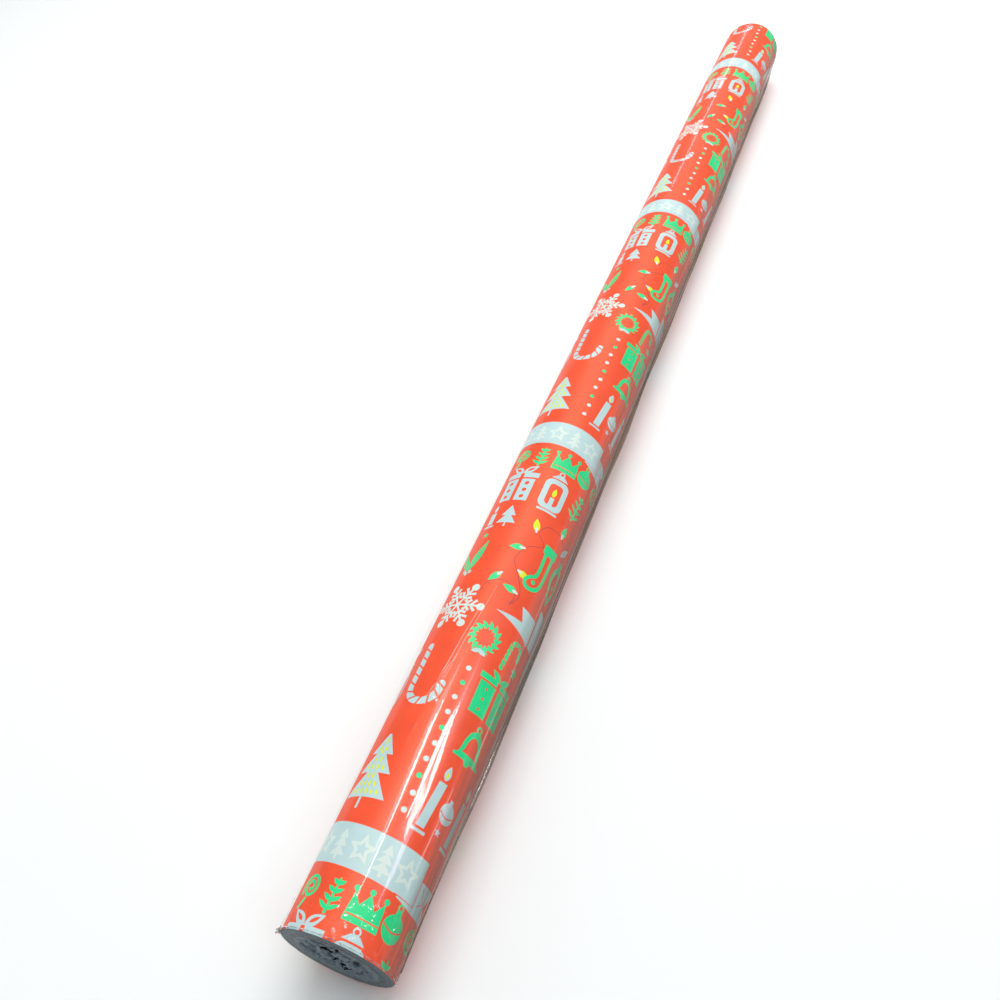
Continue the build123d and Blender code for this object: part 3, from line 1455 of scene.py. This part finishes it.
@dataclass(frozen=True)
class Crease:
    """A straight ridge in the film, or a groove when its height is below zero.

    Places are (s, z) in millimetres as in Artwork, and sizes are in millimetres.
    """

    start: Point
    end: Point
    width: float
    height: float

    def lift(self, s: float, z: float) -> float:
        """How far this crease lifts the film at a place, in millimetres.

        Args:
            s: Distance round the sheet from the front line, in millimetres.
            z: Distance from the near end, in millimetres.

        Returns:
            The lift, which is 0 away from the crease.
        """
        (s0, z0), (s1, z1) = self.start, self.end
        ds, dz = s1 - s0, z1 - z0
        t = ((s - s0) * ds + (z - z0) * dz) / (ds * ds + dz * dz)
        if t < -0.2 or t > 1.2:
            return 0.0
        off = ((s - s0 - t * ds) ** 2 + (z - z0 - t * dz) ** 2) ** 0.5
        if off > 3.0 * self.width:
            return 0.0
        fade = smoothstep(-0.2, 0.15, t) * (1.0 - smoothstep(0.85, 1.2, t))
        return self.height * fade * math.exp(-((off / self.width) ** 2))


@dataclass(frozen=True)
class Billow:
    """A place where the film stands off the paper, in millimetres."""

    centre: Point
    reach: Point
    height: float

    def lift(self, s: float, z: float) -> float:
        """How far this billow lifts the film at a place, in millimetres."""
        a, b = (s - self.centre[0]) / self.reach[0], (z - self.centre[1]) / self.reach[1]
        square = a * a + b * b
        return self.height * math.exp(-square) if square < 6.0 else 0.0


@dataclass
class FilmSleeve:
    """The film round the roll's side, with its creases, billows and tent along the fin."""

    sizes: RollSizes
    seam_s_mm: float
    creases: tuple[Crease, ...] = (
        Crease((-9.3, 64.0), (-8.5, 80.0), 0.45, 0.10),
        Crease((-9.9, 84.0), (-8.3, 92.0), 0.42, 0.22),
        Crease((-8.3, 92.0), (-6.1, 85.0), 0.42, 0.20),
        Crease((-8.4, 92.0), (-6.9, 116.0), 0.42, 0.16),
        Crease((-7.4, 92.0), (-5.8, 112.0), 0.42, 0.14),
        Crease((-6.4, 112.0), (-3.2, 140.0), 0.45, 0.12),
        Crease((-12.0, 132.0), (-2.0, 141.0), 0.30, 0.05),
        Crease((10.8, 30.0), (12.0, 62.0), 0.8, 0.10),
        Crease((12.6, 20.0), (14.0, 110.0), 1.0, -0.10),
        Crease((-14.0, 10.0), (-12.5, 70.0), 1.4, -0.07),
        Crease((16.5, 60.0), (17.0, 160.0), 0.7, 0.09),
        Crease((-6.0, 200.0), (-7.5, 420.0), 2.2, -0.07),
        Crease((9.5, 300.0), (11.0, 560.0), 1.6, 0.07),
    )
    billows: tuple[Billow, ...] = (
        Billow((-30.5, 112.0), (6.5, 26.0), 1.1),
        Billow((-29.5, 52.0), (5.5, 18.0), 0.35),
        Billow((-31.0, 590.0), (7.0, 70.0), 1.5),
        Billow((-30.0, 330.0), (6.0, 60.0), 0.5),
        Billow((60.0, 240.0), (12.0, 60.0), 0.8),
        Billow((52.0, 480.0), (10.0, 50.0), 0.7),
    )

    def stations(self) -> tuple[list[float], list[float]]:
        """Where the film's grid lines run.

        Returns:
            Places round the roll and along it, in millimetres, closer where creases are fine.
        """
        round_mm = FULL_TURN * self.sizes.sheet_r / MM
        across, s = [], -40.0
        while s < -40.0 + round_mm - 0.3:
            across.append(s)
            s += 0.38 if s < 30.0 else 0.7 if s < 38.0 else 1.1
        length = self.sizes.half_length * 2 / MM
        along, z = [0.0], 0.0
        while z < length - 0.2:
            near = min(z, length - z)
            z += 0.38 if near < 17.0 else 1.0 if z < 150.0 else 2.6
            along.append(min(z, length))
        return across, along

    def lift_mm(self, s: float, z: float) -> float:
        """The film's standoff from the sheet at a place, in millimetres.

        Args:
            s: Distance round the sheet from the front line, in millimetres.
            z: Distance from the near end, in millimetres.

        Returns:
            The standoff.
        """
        length = self.sizes.half_length * 2 / MM
        end = min(z, length - z)
        angle = s * MM / self.sizes.sheet_r
        ring = Vector((math.cos(angle) * 4.6, math.sin(angle) * 4.6, z / 170.0))
        lift = 0.34 + 0.10 * noise.noise(ring)
        fine = Vector((math.cos(angle) * 15.0, math.sin(angle) * 15.0, z / 120.0 + 7.0))
        lift += 0.016 * noise.noise(fine)
        pucker = math.exp(-end / 4.0)
        close = Vector((math.cos(angle) * 24.0, math.sin(angle) * 24.0, z / 4.5))
        lift += 0.20 * pucker * noise.noise(close)
        if end < 17.0:
            speck = noise.noise(Vector((s * 0.85, z * 0.60, 31.0)))
            lift += 0.85 * max(0.0, speck - 0.18) * (1.0 - smoothstep(12.0, 17.0, end))
        round_mm = FULL_TURN * self.sizes.sheet_r / MM
        for crease in self.creases:
            lift += crease.lift(s, z)
        for billow in self.billows:
            lift += billow.lift(s, z)
        gap = (s - self.seam_s_mm + round_mm / 2) % round_mm - round_mm / 2
        lift += self.tent_mm(z) * math.exp(-abs(gap) / 1.5)
        return max(0.1, lift)

    def tent_mm(self, z: float) -> float:
        """How far the fin draws the film off the paper at its root, in millimetres.

        Args:
            z: Distance from the near end, in millimetres.

        Returns:
            The distance at the root.
        """
        wave = 0.75 + 0.45 * noise.noise(Vector((z / 55.0, 3.0, 9.0)))
        length = self.sizes.half_length * 2 / MM
        ends = smoothstep(6.0, 80.0, z) * smoothstep(0.0, 30.0, length - z)
        return self.sizes.seam_height / MM * 0.55 * wave * ends

    def radius_at(self, s: float, z: float) -> float:
        """The film's distance from the axis at a place given in millimetres, in metres.

        Args:
            s: Distance round the sheet from the front line, in millimetres.
            z: Distance from the near end, in millimetres.

        Returns:
            The distance from the axis.
        """
        length = self.sizes.half_length * 2 / MM
        end = min(z, length - z)
        corner = 0.55 * (1.0 - min(1.0, end / 1.4)) ** 2
        return self.sizes.sheet_r + (self.lift_mm(s, z) - corner) * MM

    def build(self) -> bpy.types.Object:
        """Makes the sleeve as one closed grid round the roll.

        Returns:
            The sleeve.
        """
        across, along = self.stations()
        half = self.sizes.half_length
        points = [on_roll(s * MM, z * MM - half, self.radius_at(s, z)) for z in along for s in across]
        count, faces = len(across), []
        for row in range(len(along) - 1):
            for k in range(count):
                n = (k + 1) % count
                faces.append((row * count + k, row * count + n,
                              (row + 1) * count + n, (row + 1) * count + k))
        LOG.info("film sleeve: %d faces", len(faces))
        return mesh_piece("film_skin", points, faces)

    def dress(self, piece: bpy.types.Object) -> None:
        """Gives the sleeve its clear finish, with painted shade and a painted brown reflection towards -Y,
        and puts it in the part.

        Args:
            piece: What build() made.
        """
        # The brown haze_colour, thick only towards -Y, is painted shade and a painted brown reflection on
        # that flank.
        film = ShrinkFilm(FilmPlace.SIDE, haze=0.008, haze_colour=(0.105, 0.060, 0.035))
        piece.data.materials.append(film.material())
        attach(piece, "film")
        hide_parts("film_sleeve")


@dataclass
class CreaseHighlights:
    """Bright lines along the sharpest creases: a warm whitish haze painted on as highlight."""

    sizes: RollSizes
    sleeve: FilmSleeve
    lines: tuple[tuple[tuple[Point, ...], float], ...] = (
        (((-9.9, 85.2), (-9.5, 88.0), (-9.1, 90.3), (-8.3, 91.9)), 0.36),
        (((-8.3, 91.9), (-7.3, 91.5), (-6.6, 90.3), (-6.1, 88.6), (-6.1, 85.0)), 0.36),
        (((-8.4, 92.0), (-8.4, 96.0), (-8.1, 99.7), (-7.8, 103.0), (-6.9, 116.0), (-5.4, 131.0)), 0.24),
        (((-7.3, 92.0), (-7.6, 95.0), (-7.2, 99.9), (-6.5, 102.6), (-5.8, 112.0), (-3.2, 140.0)), 0.22),
        (((-8.7, 86.0), (-8.3, 88.6), (-8.0, 90.8)), 0.16),
        (((-7.3, 86.5), (-7.6, 89.0), (-7.9, 91.0)), 0.16),
        (((11.9, 28.0), (12.6, 46.0), (12.9, 60.0)), 0.14),
        (((17.4, 70.0), (17.8, 120.0), (18.1, 170.0)), 0.14),
    )

    def build(self) -> bpy.types.Object:
        """Makes every crease as a low ridge that tapers to its ends.

        Returns:
            The creases.
        """
        points, faces = [], []
        for bends, width in self.lines:
            path = curve(list(bends), 10)
            start = len(points)
            for i, (s, z) in enumerate(path):
                (s0, z0), (s1, z1) = path[max(0, i - 1)], path[min(len(path) - 1, i + 1)]
                length = math.hypot(s1 - s0, z1 - z0) or 1.0
                across = ((z1 - z0) / length, -(s1 - s0) / length)
                t = i / (len(path) - 1)
                half = width / 2 * (0.35 + 0.65 * math.sin(math.pi * t) ** 0.6)
                half *= 1.0 + 0.5 * noise.noise(Vector((i * 0.7, width * 40.0, 2.0)))
                for side, height in ((-1.0, 0.02), (0.0, 0.16), (1.0, 0.02)):
                    ps, pz = s + across[0] * side * half, z + across[1] * side * half
                    r = self.sleeve.radius_at(ps, pz) + height * MM
                    points.append(on_roll(ps * MM, pz * MM - self.sizes.half_length, r))
            for i in range(len(path) - 1):
                a = start + i * 3
                faces += [(a + k, a + k + 1, a + k + 4, a + k + 3) for k in range(2)]
        return mesh_piece("film_creases", points, faces)

    def dress(self, piece: bpy.types.Object) -> None:
        """Gives the creases a warm whitish finish, a painted highlight, and puts them with the film.

        Args:
            piece: What build() made.
        """
        # The warm whitish haze is a painted highlight along the creases.
        film = ShrinkFilm(
            FilmPlace.CREASE,
            haze=0.42,
            haze_colour=(0.90, 0.80, 0.66),
            gloss=3.0,
            gloss_limit=0.35,
            roughness=0.2,
            soft_roughness=0.4,
            folded_haze=0.2,
        )
        piece.data.materials.append(film.material())
        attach(piece, "film")


@dataclass
class FilmFin:
    """The welded fin along the film: two layers of film with a sealed edge."""

    sizes: RollSizes
    sleeve: FilmSleeve
    step_mm: float = 3.0

    def build(self) -> bpy.types.Object:
        """Makes the fin as a thin wavy strip with a bead along its sealed edge.

        Returns:
            The fin.
        """
        half, height = self.sizes.half_length, self.sizes.seam_height
        length_mm = half * 2 / MM
        count = int((length_mm - 8.0) / self.step_mm)
        section = ((-0.34, 0.0), (-0.12, 0.45), (-0.10, 0.86), (-0.17, 0.93), (-0.14, 1.0),
                   (0.14, 1.0), (0.17, 0.93), (0.10, 0.86), (0.12, 0.45), (0.34, 0.0))
        points, faces = [], []
        for i in range(count + 1):
            z = 4.0 + (length_mm - 8.0) * i / count
            lean = 0.55 + 0.9 * noise.noise(Vector((z / 34.0, 1.0, 5.0)))
            tall = height / MM * (0.80 + 0.30 * noise.noise(Vector((z / 47.0, 8.0, 2.0))))
            tall *= smoothstep(10.0, 110.0, z) * smoothstep(0.0, 60.0, length_mm - z) * 0.97 + 0.03
            root = self.sleeve.radius_at(self.sleeve.seam_s_mm, z) - 0.35 * MM
            top = max(self.sizes.film_r + tall * MM, root + 0.25 * MM)
            for across, up in section:
                r = root + (top - root) * up
                s = self.sleeve.seam_s_mm + across + lean * up * up
                points.append(on_roll(s * MM, z * MM - half, r))
        n = len(section)
        for i in range(count):
            for k in range(n):
                m = (k + 1) % n
                faces.append((i * n + k, i * n + m, (i + 1) * n + m, (i + 1) * n + k))
        faces.append(tuple(range(n)))
        faces.append(tuple(count * n + k for k in reversed(range(n))))
        return mesh_piece("film_fin", points, faces)

    def dress(self, piece: bpy.types.Object) -> None:
        """Gives the fin its dark brown striped finish, painted shade and a painted brown reflection, and
        puts it in the part.

        Args:
            piece: What build() made.
        """
        # The brown haze_colour and its paler stripes are painted shade and a painted brown reflection.
        film = ShrinkFilm(
            FilmPlace.SEAM, haze=0.30, haze_colour=(0.075, 0.048, 0.030), folded_haze=0.5
        )
        piece.data.materials.append(film.material())
        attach(piece, "film")
        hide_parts("film_seam")


class RollEnd(Enum):
    """The two ends of the roll: the side they face along X."""

    NEAR = -1
    FAR = 1


@dataclass
class FilmEnd:
    """The film shrunk over one end: a flat ring, then gathers sunk in the bore, with small holes."""

    sizes: RollSizes
    end: RollEnd
    sleeve: FilmSleeve
    seed: float
    rings: int = 64
    segments: int = 220
    ring_r: float = 14.3 * MM

    def strand_gap(self, y: float, z: float) -> float:
        """How far a place in millimetres is from the nearest strand, in cells: 0 on the strand.

        Args:
            y: The place's y.
            z: The place's z.

        Returns:
            The distance in cells.
        """
        across = noise.noise(Vector((y, z, 1.0)) * 0.21)
        up = noise.noise(Vector((z, y, 5.0)) * 0.21)
        warp = Vector((across, up, 0.0))
        place = Vector((y / 5.2, z / 5.2, self.seed)) + warp * 0.9
        near = noise.voronoi(place)[0]
        return near[1] - near[0]

    def crumple(self, r: float, angle: float) -> float:
        """How far the film stands out or in at a place on the end, in metres.

        Args:
            r: Distance from the axis, in metres.
            angle: Angle round the roll.

        Returns:
            The distance, below 0 where the film is sunk.
        """
        y, z = r / MM * math.cos(angle), r / MM * math.sin(angle)
        inside = 1.0 - smoothstep(self.ring_r * 0.80, self.ring_r * 1.04, r)
        gap = self.strand_gap(y, z)
        strand = math.exp(-((gap / 0.24) ** 2))
        pull = noise.noise(Vector((y * 0.42, z * 0.42, self.seed + 4.0)))
        fine = noise.noise(Vector((y * 1.3, z * 1.3, self.seed + 9.0)))
        deep = inside * (-2.1 + 2.0 * strand + 0.45 * pull + 0.22 * fine)
        ring_fold = Vector((angle * 7.0, r / MM * 0.5, self.seed))
        return min(deep + (1.0 - inside) * 0.10 * noise.noise(ring_fold), 0.35) * MM

    def build(self) -> bpy.types.Object:
        """Makes the end as a round grid whose outer rim turns over the sleeve's edge.

        Returns:
            The end.
        """
        side, half = self.end.value, self.sizes.half_length
        length_mm = half * 2 / MM
        z_end = 0.05 if self.end is RollEnd.NEAR else length_mm - 0.05
        round_mm = FULL_TURN * self.sizes.sheet_r / MM
        points, faces = [], []
        for i in range(self.rings + 1):
            t = i / self.rings
            for k in range(self.segments):
                turn = k / self.segments
                s = turn * round_mm
                rim = self.sleeve.radius_at(s if s < round_mm - 40.0 else s - round_mm, z_end)
                r = rim * (0.004 + 0.996 * t ** 0.85)
                angle = around(s * MM)
                drop = 0.55 * MM * smoothstep(rim - 1.2 * MM, rim, r) ** 2
                out = 0.30 * MM + self.crumple(r, angle) * (1.0 - smoothstep(rim - 1.6 * MM, rim, r)) - drop
                x = side * (half + max(out, -DEEPEST_GATHER))
                points.append((x, -r * math.sin(angle), r * math.cos(angle)))
        for i in range(self.rings):
            for k in range(self.segments):
                n = (k + 1) % self.segments
                ring = (i * self.segments + k, i * self.segments + n,
                        (i + 1) * self.segments + n, (i + 1) * self.segments + k)
                if not self.open_at([points[j] for j in ring]):
                    faces.append(ring if side > 0 else ring[::-1])
        return mesh_piece(f"film_{self.end.name.lower()}_gathers", points, faces)

    def open_at(self, ring: list) -> bool:
        """True where the film has a hole: the eye in the middle and small tears between folds.

        Args:
            ring: One face's corners.

        Returns:
            Whether that face is left out.
        """
        y = sum(p[1] for p in ring) / len(ring) / MM
        z = sum(p[2] for p in ring) / len(ring) / MM
        if math.hypot(y, z) > self.ring_r / MM * 0.66:
            return False
        torn = noise.noise(Vector((y * 0.16, z * 0.16, self.seed * 3.1)))
        return self.strand_gap(y, z) > 0.30 - 0.3 * torn

    def dress(self, piece: bpy.types.Object) -> None:
        """Gives the end its dark blue-grey milky finish, painted shade, and puts it in the part.

        Args:
            piece: What build() made.
        """
        # The dark blue-grey haze, darker in the pockets and lighter on the strands, is painted shade and
        # painted light.
        film = ShrinkFilm(
            FilmPlace.END,
            haze=0.42,
            haze_colour=(0.050, 0.080, 0.100),
            gloss=0.7,
            gloss_limit=0.07,
            roughness=0.08,
            soft_roughness=0.4,
            folded_haze=0.1,
        )
        piece.data.materials.append(film.material())
        near = self.end is RollEnd.NEAR
        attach(piece, "near_end" if near else "film")
        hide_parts("film_end_near" if near else "film_end_far")


@dataclass(frozen=True)
class Flap:
    """One torn flap of film on the near rim, in millimetres round the sheet and outwards."""

    middle: float
    width: float
    height: float


@dataclass
class RimFrill:
    """The ragged film round the near rim, where the sleeve was trimmed and shrunk over."""

    sizes: RollSizes
    sleeve: FilmSleeve
    across: int = 14
    up: int = 7
    worn: tuple[tuple[float, float, int, float], ...] = (
        (-36.0, -21.0, 15, 1.9),
        (-21.0, 22.0, 18, 0.6),
        (22.0, 36.0, 9, 1.1),
        (40.0, 86.0, 16, 0.5),
    )

    def flaps(self) -> list[Flap]:
        """Every flap, close together and tall where the rim is worn most.

        Returns:
            The flaps.
        """
        found = []
        for low, high, count, tall in self.worn:
            for k in range(count):
                sway = noise.noise(Vector((low, k * 1.7, 12.0)))
                middle = low + (high - low) * (k + 0.5 + 0.5 * sway) / count
                found.append(Flap(middle, (high - low) / count * (1.3 + sway), tall * (0.75 + 0.8 * sway)))
        return found

    def flap_points(self, flap: Flap) -> list[tuple[float, float, float]]:
        """The grid of one flap.

        Args:
            flap: Its place and size.

        Returns:
            Its points, row by row from the rim outwards.
        """
        points = []
        half = self.sizes.half_length
        for j in range(self.up + 1):
            v = j / self.up
            for i in range(self.across + 1):
                u = i / self.across * 2.0 - 1.0
                s = flap.middle + u * flap.width / 2 * (1.0 - 0.35 * v)
                crumple = noise.noise(Vector((s * 1.1, v * 2.2, flap.middle)))
                fine = noise.noise(Vector((s * 2.7, v * 4.0, flap.middle + 5.0)))
                edge = 0.7 + 0.55 * noise.noise(Vector((s * 1.6, 3.0, flap.middle)))
                reach = v * flap.height * edge * (1.0 - 0.5 * u * u)
                r = self.sleeve.radius_at(s, 0.4) + (reach * 0.75 + 0.60 * crumple * v * flap.height) * MM
                x = -half + (0.7 - 0.8 * reach - 0.55 * fine * v * flap.height) * MM
                points.append(on_roll(s * MM, max(x, -half - DEEPEST_GATHER), r))
        return points

    def build(self) -> bpy.types.Object:
        """Makes all the flaps as one ragged sheet of film.

        Returns:
            The frill.
        """
        points, faces = [], []
        row = self.across + 1
        for flap in self.flaps():
            start = len(points)
            points += self.flap_points(flap)
            for j in range(self.up):
                for i in range(self.across):
                    a = start + j * row + i
                    faces.append((a, a + 1, a + row + 1, a + row))
        return mesh_piece("film_near_frill", points, faces)

    def dress(self, piece: bpy.types.Object) -> None:
        """Gives the frill its milky finish, with white blotches as painted glints, and puts it with the
        near end.

        Args:
            piece: What build() made.
        """
        # The white blotches in its haze are painted glints on the crumpled flaps.
        film = ShrinkFilm(
            FilmPlace.FRILL,
            haze=0.55,
            haze_colour=(0.05, 0.05, 0.055),
            gloss=3.0,
            gloss_limit=0.40,
            roughness=0.15,
            soft_roughness=0.4,
            folded_haze=0.35,
        )
        piece.data.materials.append(film.material())
        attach(piece, "near_end")


# ---------------------------------------------------------------------------
# The studio
# ---------------------------------------------------------------------------


class LampRole(Enum):
    """What a lamp is for: to light surfaces, or to be mirrored in the film."""

    KEY = "key"
    MIRRORED = "mirrored"


@dataclass
class Studio:
    """The pale floor, the soft light and the camera."""

    sizes: RollSizes
    eye: tuple[float, float, float] = (-0.4083, -0.1063, 0.3087)
    aim: tuple[float, float, float] = (-0.1505, 0.0199, 0.0)
    roll_deg: float = -7.3
    lens: float = 33.34

    def floor(self) -> bpy.types.Object:
        """Makes the floor, a wide pale disc just under the film.

        Returns:
            The floor.
        """
        kit = NodeKit("studio_floor")
        cloud = kit.noise(kit.coordinates(), 3.0, 2.0)
        tone = kit.ramp(cloud, ((0.3, (0.86, 0.86, 0.86)), (0.7, (0.89, 0.89, 0.89))))
        shader = kit.principled(Base_Color=tone, Roughness=0.9, Specular_IOR_Level=0.1)
        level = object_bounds()[0][2] - 0.0002
        rim = [(9.0 * math.cos(a), 9.0 * math.sin(a), level)
               for a in (FULL_TURN * i / 96 for i in range(96))]
        piece = mesh_piece("studio_floor", rim, [tuple(range(96))], smooth=False)
        piece.data.materials.append(kit.finish(shader.outputs[0]))
        piece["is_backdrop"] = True
        return piece

    def panel(
        self, name: str, role: LampRole, place: Sequence[float], aim: Sequence[float], size: Point,
        watts: float, colour: Sequence[float] = (1.0, 1.0, 1.0), along: Sequence[float] = (1.0, 0.0, 0.0)
    ) -> bpy.types.Object:
        """Adds one rectangular lamp.

        Args:
            name: The lamp's name.
            role: Whether it lights surfaces or is mirrored in the film.
            place: Where it hangs.
            aim: The point that it faces.
            size: Its length along the roll and its width.
            watts: Its power.
            colour: Its colour.
            along: The direction of its length.

        Returns:
            The lamp.
        """
        lamp = bpy.data.lights.new(name, "AREA")
        lamp.shape = "RECTANGLE"
        lamp.size, lamp.size_y = size
        lamp.energy = watts
        lamp.color = tuple(colour)
        obj = bpy.data.objects.new(name, lamp)
        obj.visible_diffuse = role is LampRole.KEY
        obj.visible_glossy = role is LampRole.MIRRORED
        bpy.context.scene.collection.objects.link(obj)
        back = (Vector(place) - Vector(aim)).normalized()
        x_axis = Vector(along)
        x_axis = (x_axis - back * x_axis.dot(back)).normalized()
        y_axis = back.cross(x_axis)
        turn = Matrix((x_axis, y_axis, back)).transposed()
        obj.matrix_world = Matrix.Translation(Vector(place)) @ turn.to_4x4()
        return obj

    def mirror_place(self, s: float, z: float, distance: float) -> Vector:
        """Where a lamp hangs for its reflection to show at a place on the roll.

        Args:
            s: The place round the sheet, in millimetres.
            z: The place along it, in millimetres.
            distance: How far off the lamp is, in metres.

        Returns:
            The lamp's place.
        """
        spot = Vector(on_roll(s * MM, z * MM - self.sizes.half_length, self.sizes.sheet_r))
        normal = Vector(on_roll(s * MM, 0.0, 1.0)).normalized()
        sight = (Vector(self.eye) - spot).normalized()
        ray = 2.0 * normal.dot(sight) * normal - sight
        return spot + ray * distance

    def strip_light(
        self, name: str, start: Point, end: Point, distance: float, width: float, radiance: float,
        colour: Sequence[float] = (1.0, 1.0, 1.0), role: LampRole = LampRole.MIRRORED
    ) -> None:
        """Adds a lamp that hangs where the film mirrors it as a streak along the roll.

        Args:
            name: The lamp's name.
            start: Where the streak starts, in millimetres round the sheet and along the roll.
            end: Where it ends.
            distance: How far off the lamp hangs, in metres.
            width: The lamp's width across the roll, in metres.
            radiance: How bright its face is.
            colour: Its colour.
            role: Whether it is mirrored in the film or lights surfaces.
        """
        first, last = self.mirror_place(*start, distance), self.mirror_place(*end, distance)
        middle = (first + last) / 2
        length = (last - first).length
        half_way = (start[1] + end[1]) / 2 * MM - self.sizes.half_length
        aim = Vector(on_roll((start[0] + end[0]) / 2 * MM, half_way, self.sizes.sheet_r))
        watts = radiance * math.pi * length * width
        self.panel(name, role, middle, aim, (length, width), watts, colour, last - first)

    def light(self) -> None:
        """Hangs the lamps and sets the pale surround."""
        world = bpy.data.worlds.new("studio_surround")
        bpy.context.scene.world = world
        world.use_nodes = True
        background = world.node_tree.nodes["Background"]
        background.inputs["Color"].default_value = (0.95, 0.98, 1.0, 1.0)
        background.inputs["Strength"].default_value = 0.30
        warm, cool = (1.0, 0.86, 0.56), (0.96, 1.0, 1.0)
        rose, magenta = (1.0, 0.70, 0.84), (1.0, 0.22, 0.45)
        reaches = ((-60.0, 60.0), (60.0, 200.0), (200.0, 420.0), (420.0, 760.0))
        for index, (z0, z1) in enumerate(reaches):
            start, end = (-4.0, z0), (-4.0, z1)
            self.strip_light(f"long_key_{index}", start, end, 1.3, 1.10, 2.85, cool, LampRole.KEY)
            for width, radiance in ((0.30, 1.3), (0.60, 1.8), (1.00, 1.8)):
                name = f"long_sheen_{index}_{int(width * 100)}"
                self.strip_light(name, start, end, 1.3, width, radiance, warm)
        self.panel("left_key", LampRole.KEY, (-0.1, 1.5, 1.0), (0.0, 0.0, 0.0), (1.6, 0.9), 3.5, cool)
        self.panel("right_key", LampRole.KEY, (-0.2, -1.1, 1.5), (-0.1, 0.0, 0.0), (1.6, 0.9), 6.0, cool)
        self.strip_light("short_streak", (-8.9, 66.0), (-9.1, 79.0), 1.0, 0.050, 13.0, rose)
        self.strip_light("left_low_streak", (-2.3, 14.0), (-3.1, 58.0), 1.0, 0.034, 26.0)
        self.strip_light("left_streak", (-3.1, 54.0), (-3.9, 80.0), 1.0, 0.060, 30.0)
        self.strip_light("left_glow", (-2.9, 36.0), (-4.2, 94.0), 1.0, 0.17, 3.6)
        self.strip_light("middle_streak", (1.7, 47.0), (1.1, 81.0), 1.0, 0.085, 30.0)
        self.strip_light("middle_foot", (4.0, 43.5), (2.4, 50.0), 1.0, 0.060, 24.0)
        self.strip_light("right_streak", (4.7, 49.0), (2.0, 83.0), 1.0, 0.045, 30.0)
        self.strip_light("gap_glow", (3.0, 50.0), (1.5, 92.0), 1.0, 0.18, 3.2, rose)
        self.strip_light("lower_glow", (4.9, 18.0), (4.4, 46.0), 1.0, 0.12, 7.0, rose)
        self.strip_light("magenta_streak", (11.8, 46.0), (14.2, 66.0), 1.0, 0.050, 7.0, magenta)
        self.strip_light("far_streak", (-8.9, 470.0), (-9.3, 705.0), 1.1, 0.06, 9.0, rose)

    def camera(self) -> None:
        """Sets the camera at the usual viewpoint."""
        data = bpy.data.cameras.new("camera")
        data.lens = self.lens
        data.sensor_width = 36.0
        data.clip_start = 0.01
        data.clip_end = 100.0
        camera = bpy.data.objects.new("camera", data)
        bpy.context.scene.collection.objects.link(camera)
        back = (Vector(self.eye) - Vector(self.aim)).normalized()
        right = Vector((0.0, 0.0, 1.0)).cross(back).normalized()
        up = back.cross(right)
        turn = Matrix((right, up, back)).transposed().to_4x4()
        tilt = Matrix.Rotation(math.radians(self.roll_deg), 4, "Z")
        camera.matrix_world = Matrix.Translation(Vector(self.eye)) @ turn @ tilt
        bpy.context.scene.camera = camera

    def build(self) -> None:
        """Makes the whole studio."""
        self.floor()
        self.light()
        self.camera()
        scene = bpy.context.scene
        scene.view_settings.view_transform = "Standard"
        scene.view_settings.look = "None"


def main() -> None:
    """Builds and dresses the roll from the inside out, then the studio."""
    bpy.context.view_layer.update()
    BoardCore().dress()
    LOG.info("core plies dressed")
    wound = WoundSheet(SIZES)
    wound.dress(wound.build())
    LOG.info("wound sheet built")
    sheet = PrintedSheet(SIZES)
    sheet.dress(sheet.build())
    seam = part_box("film_seam")
    middle_y, middle_z = (seam[0][1] + seam[1][1]) / 2, (seam[0][2] + seam[1][2]) / 2
    seam_angle = math.atan2(-middle_y, middle_z)
    sleeve = FilmSleeve(SIZES, (seam_angle - FRONT_ANGLE) * SIZES.sheet_r / MM)
    sleeve.dress(sleeve.build())
    # The creases' warm whitish haze is a painted highlight.
    creases = CreaseHighlights(SIZES, sleeve)
    creases.dress(creases.build())
    LOG.info("painted_highlight creases built")
    fin = FilmFin(SIZES, sleeve)
    fin.dress(fin.build())
    LOG.info("film fin built")
    for end, seed in ((RollEnd.NEAR, 2.7), (RollEnd.FAR, 6.1)):
        cap = FilmEnd(SIZES, end, sleeve, seed)
        cap.dress(cap.build())
        LOG.info("film %s end built", end.name.lower())
    frill = RimFrill(SIZES, sleeve)
    frill.dress(frill.build())
    LOG.info("near rim's frill built")
    Studio(SIZES).build()
    LOG.info("studio ready")


if __name__ == "__main__":
    logging.basicConfig(level=logging.INFO, format="%(name)s: %(message)s")
    main()
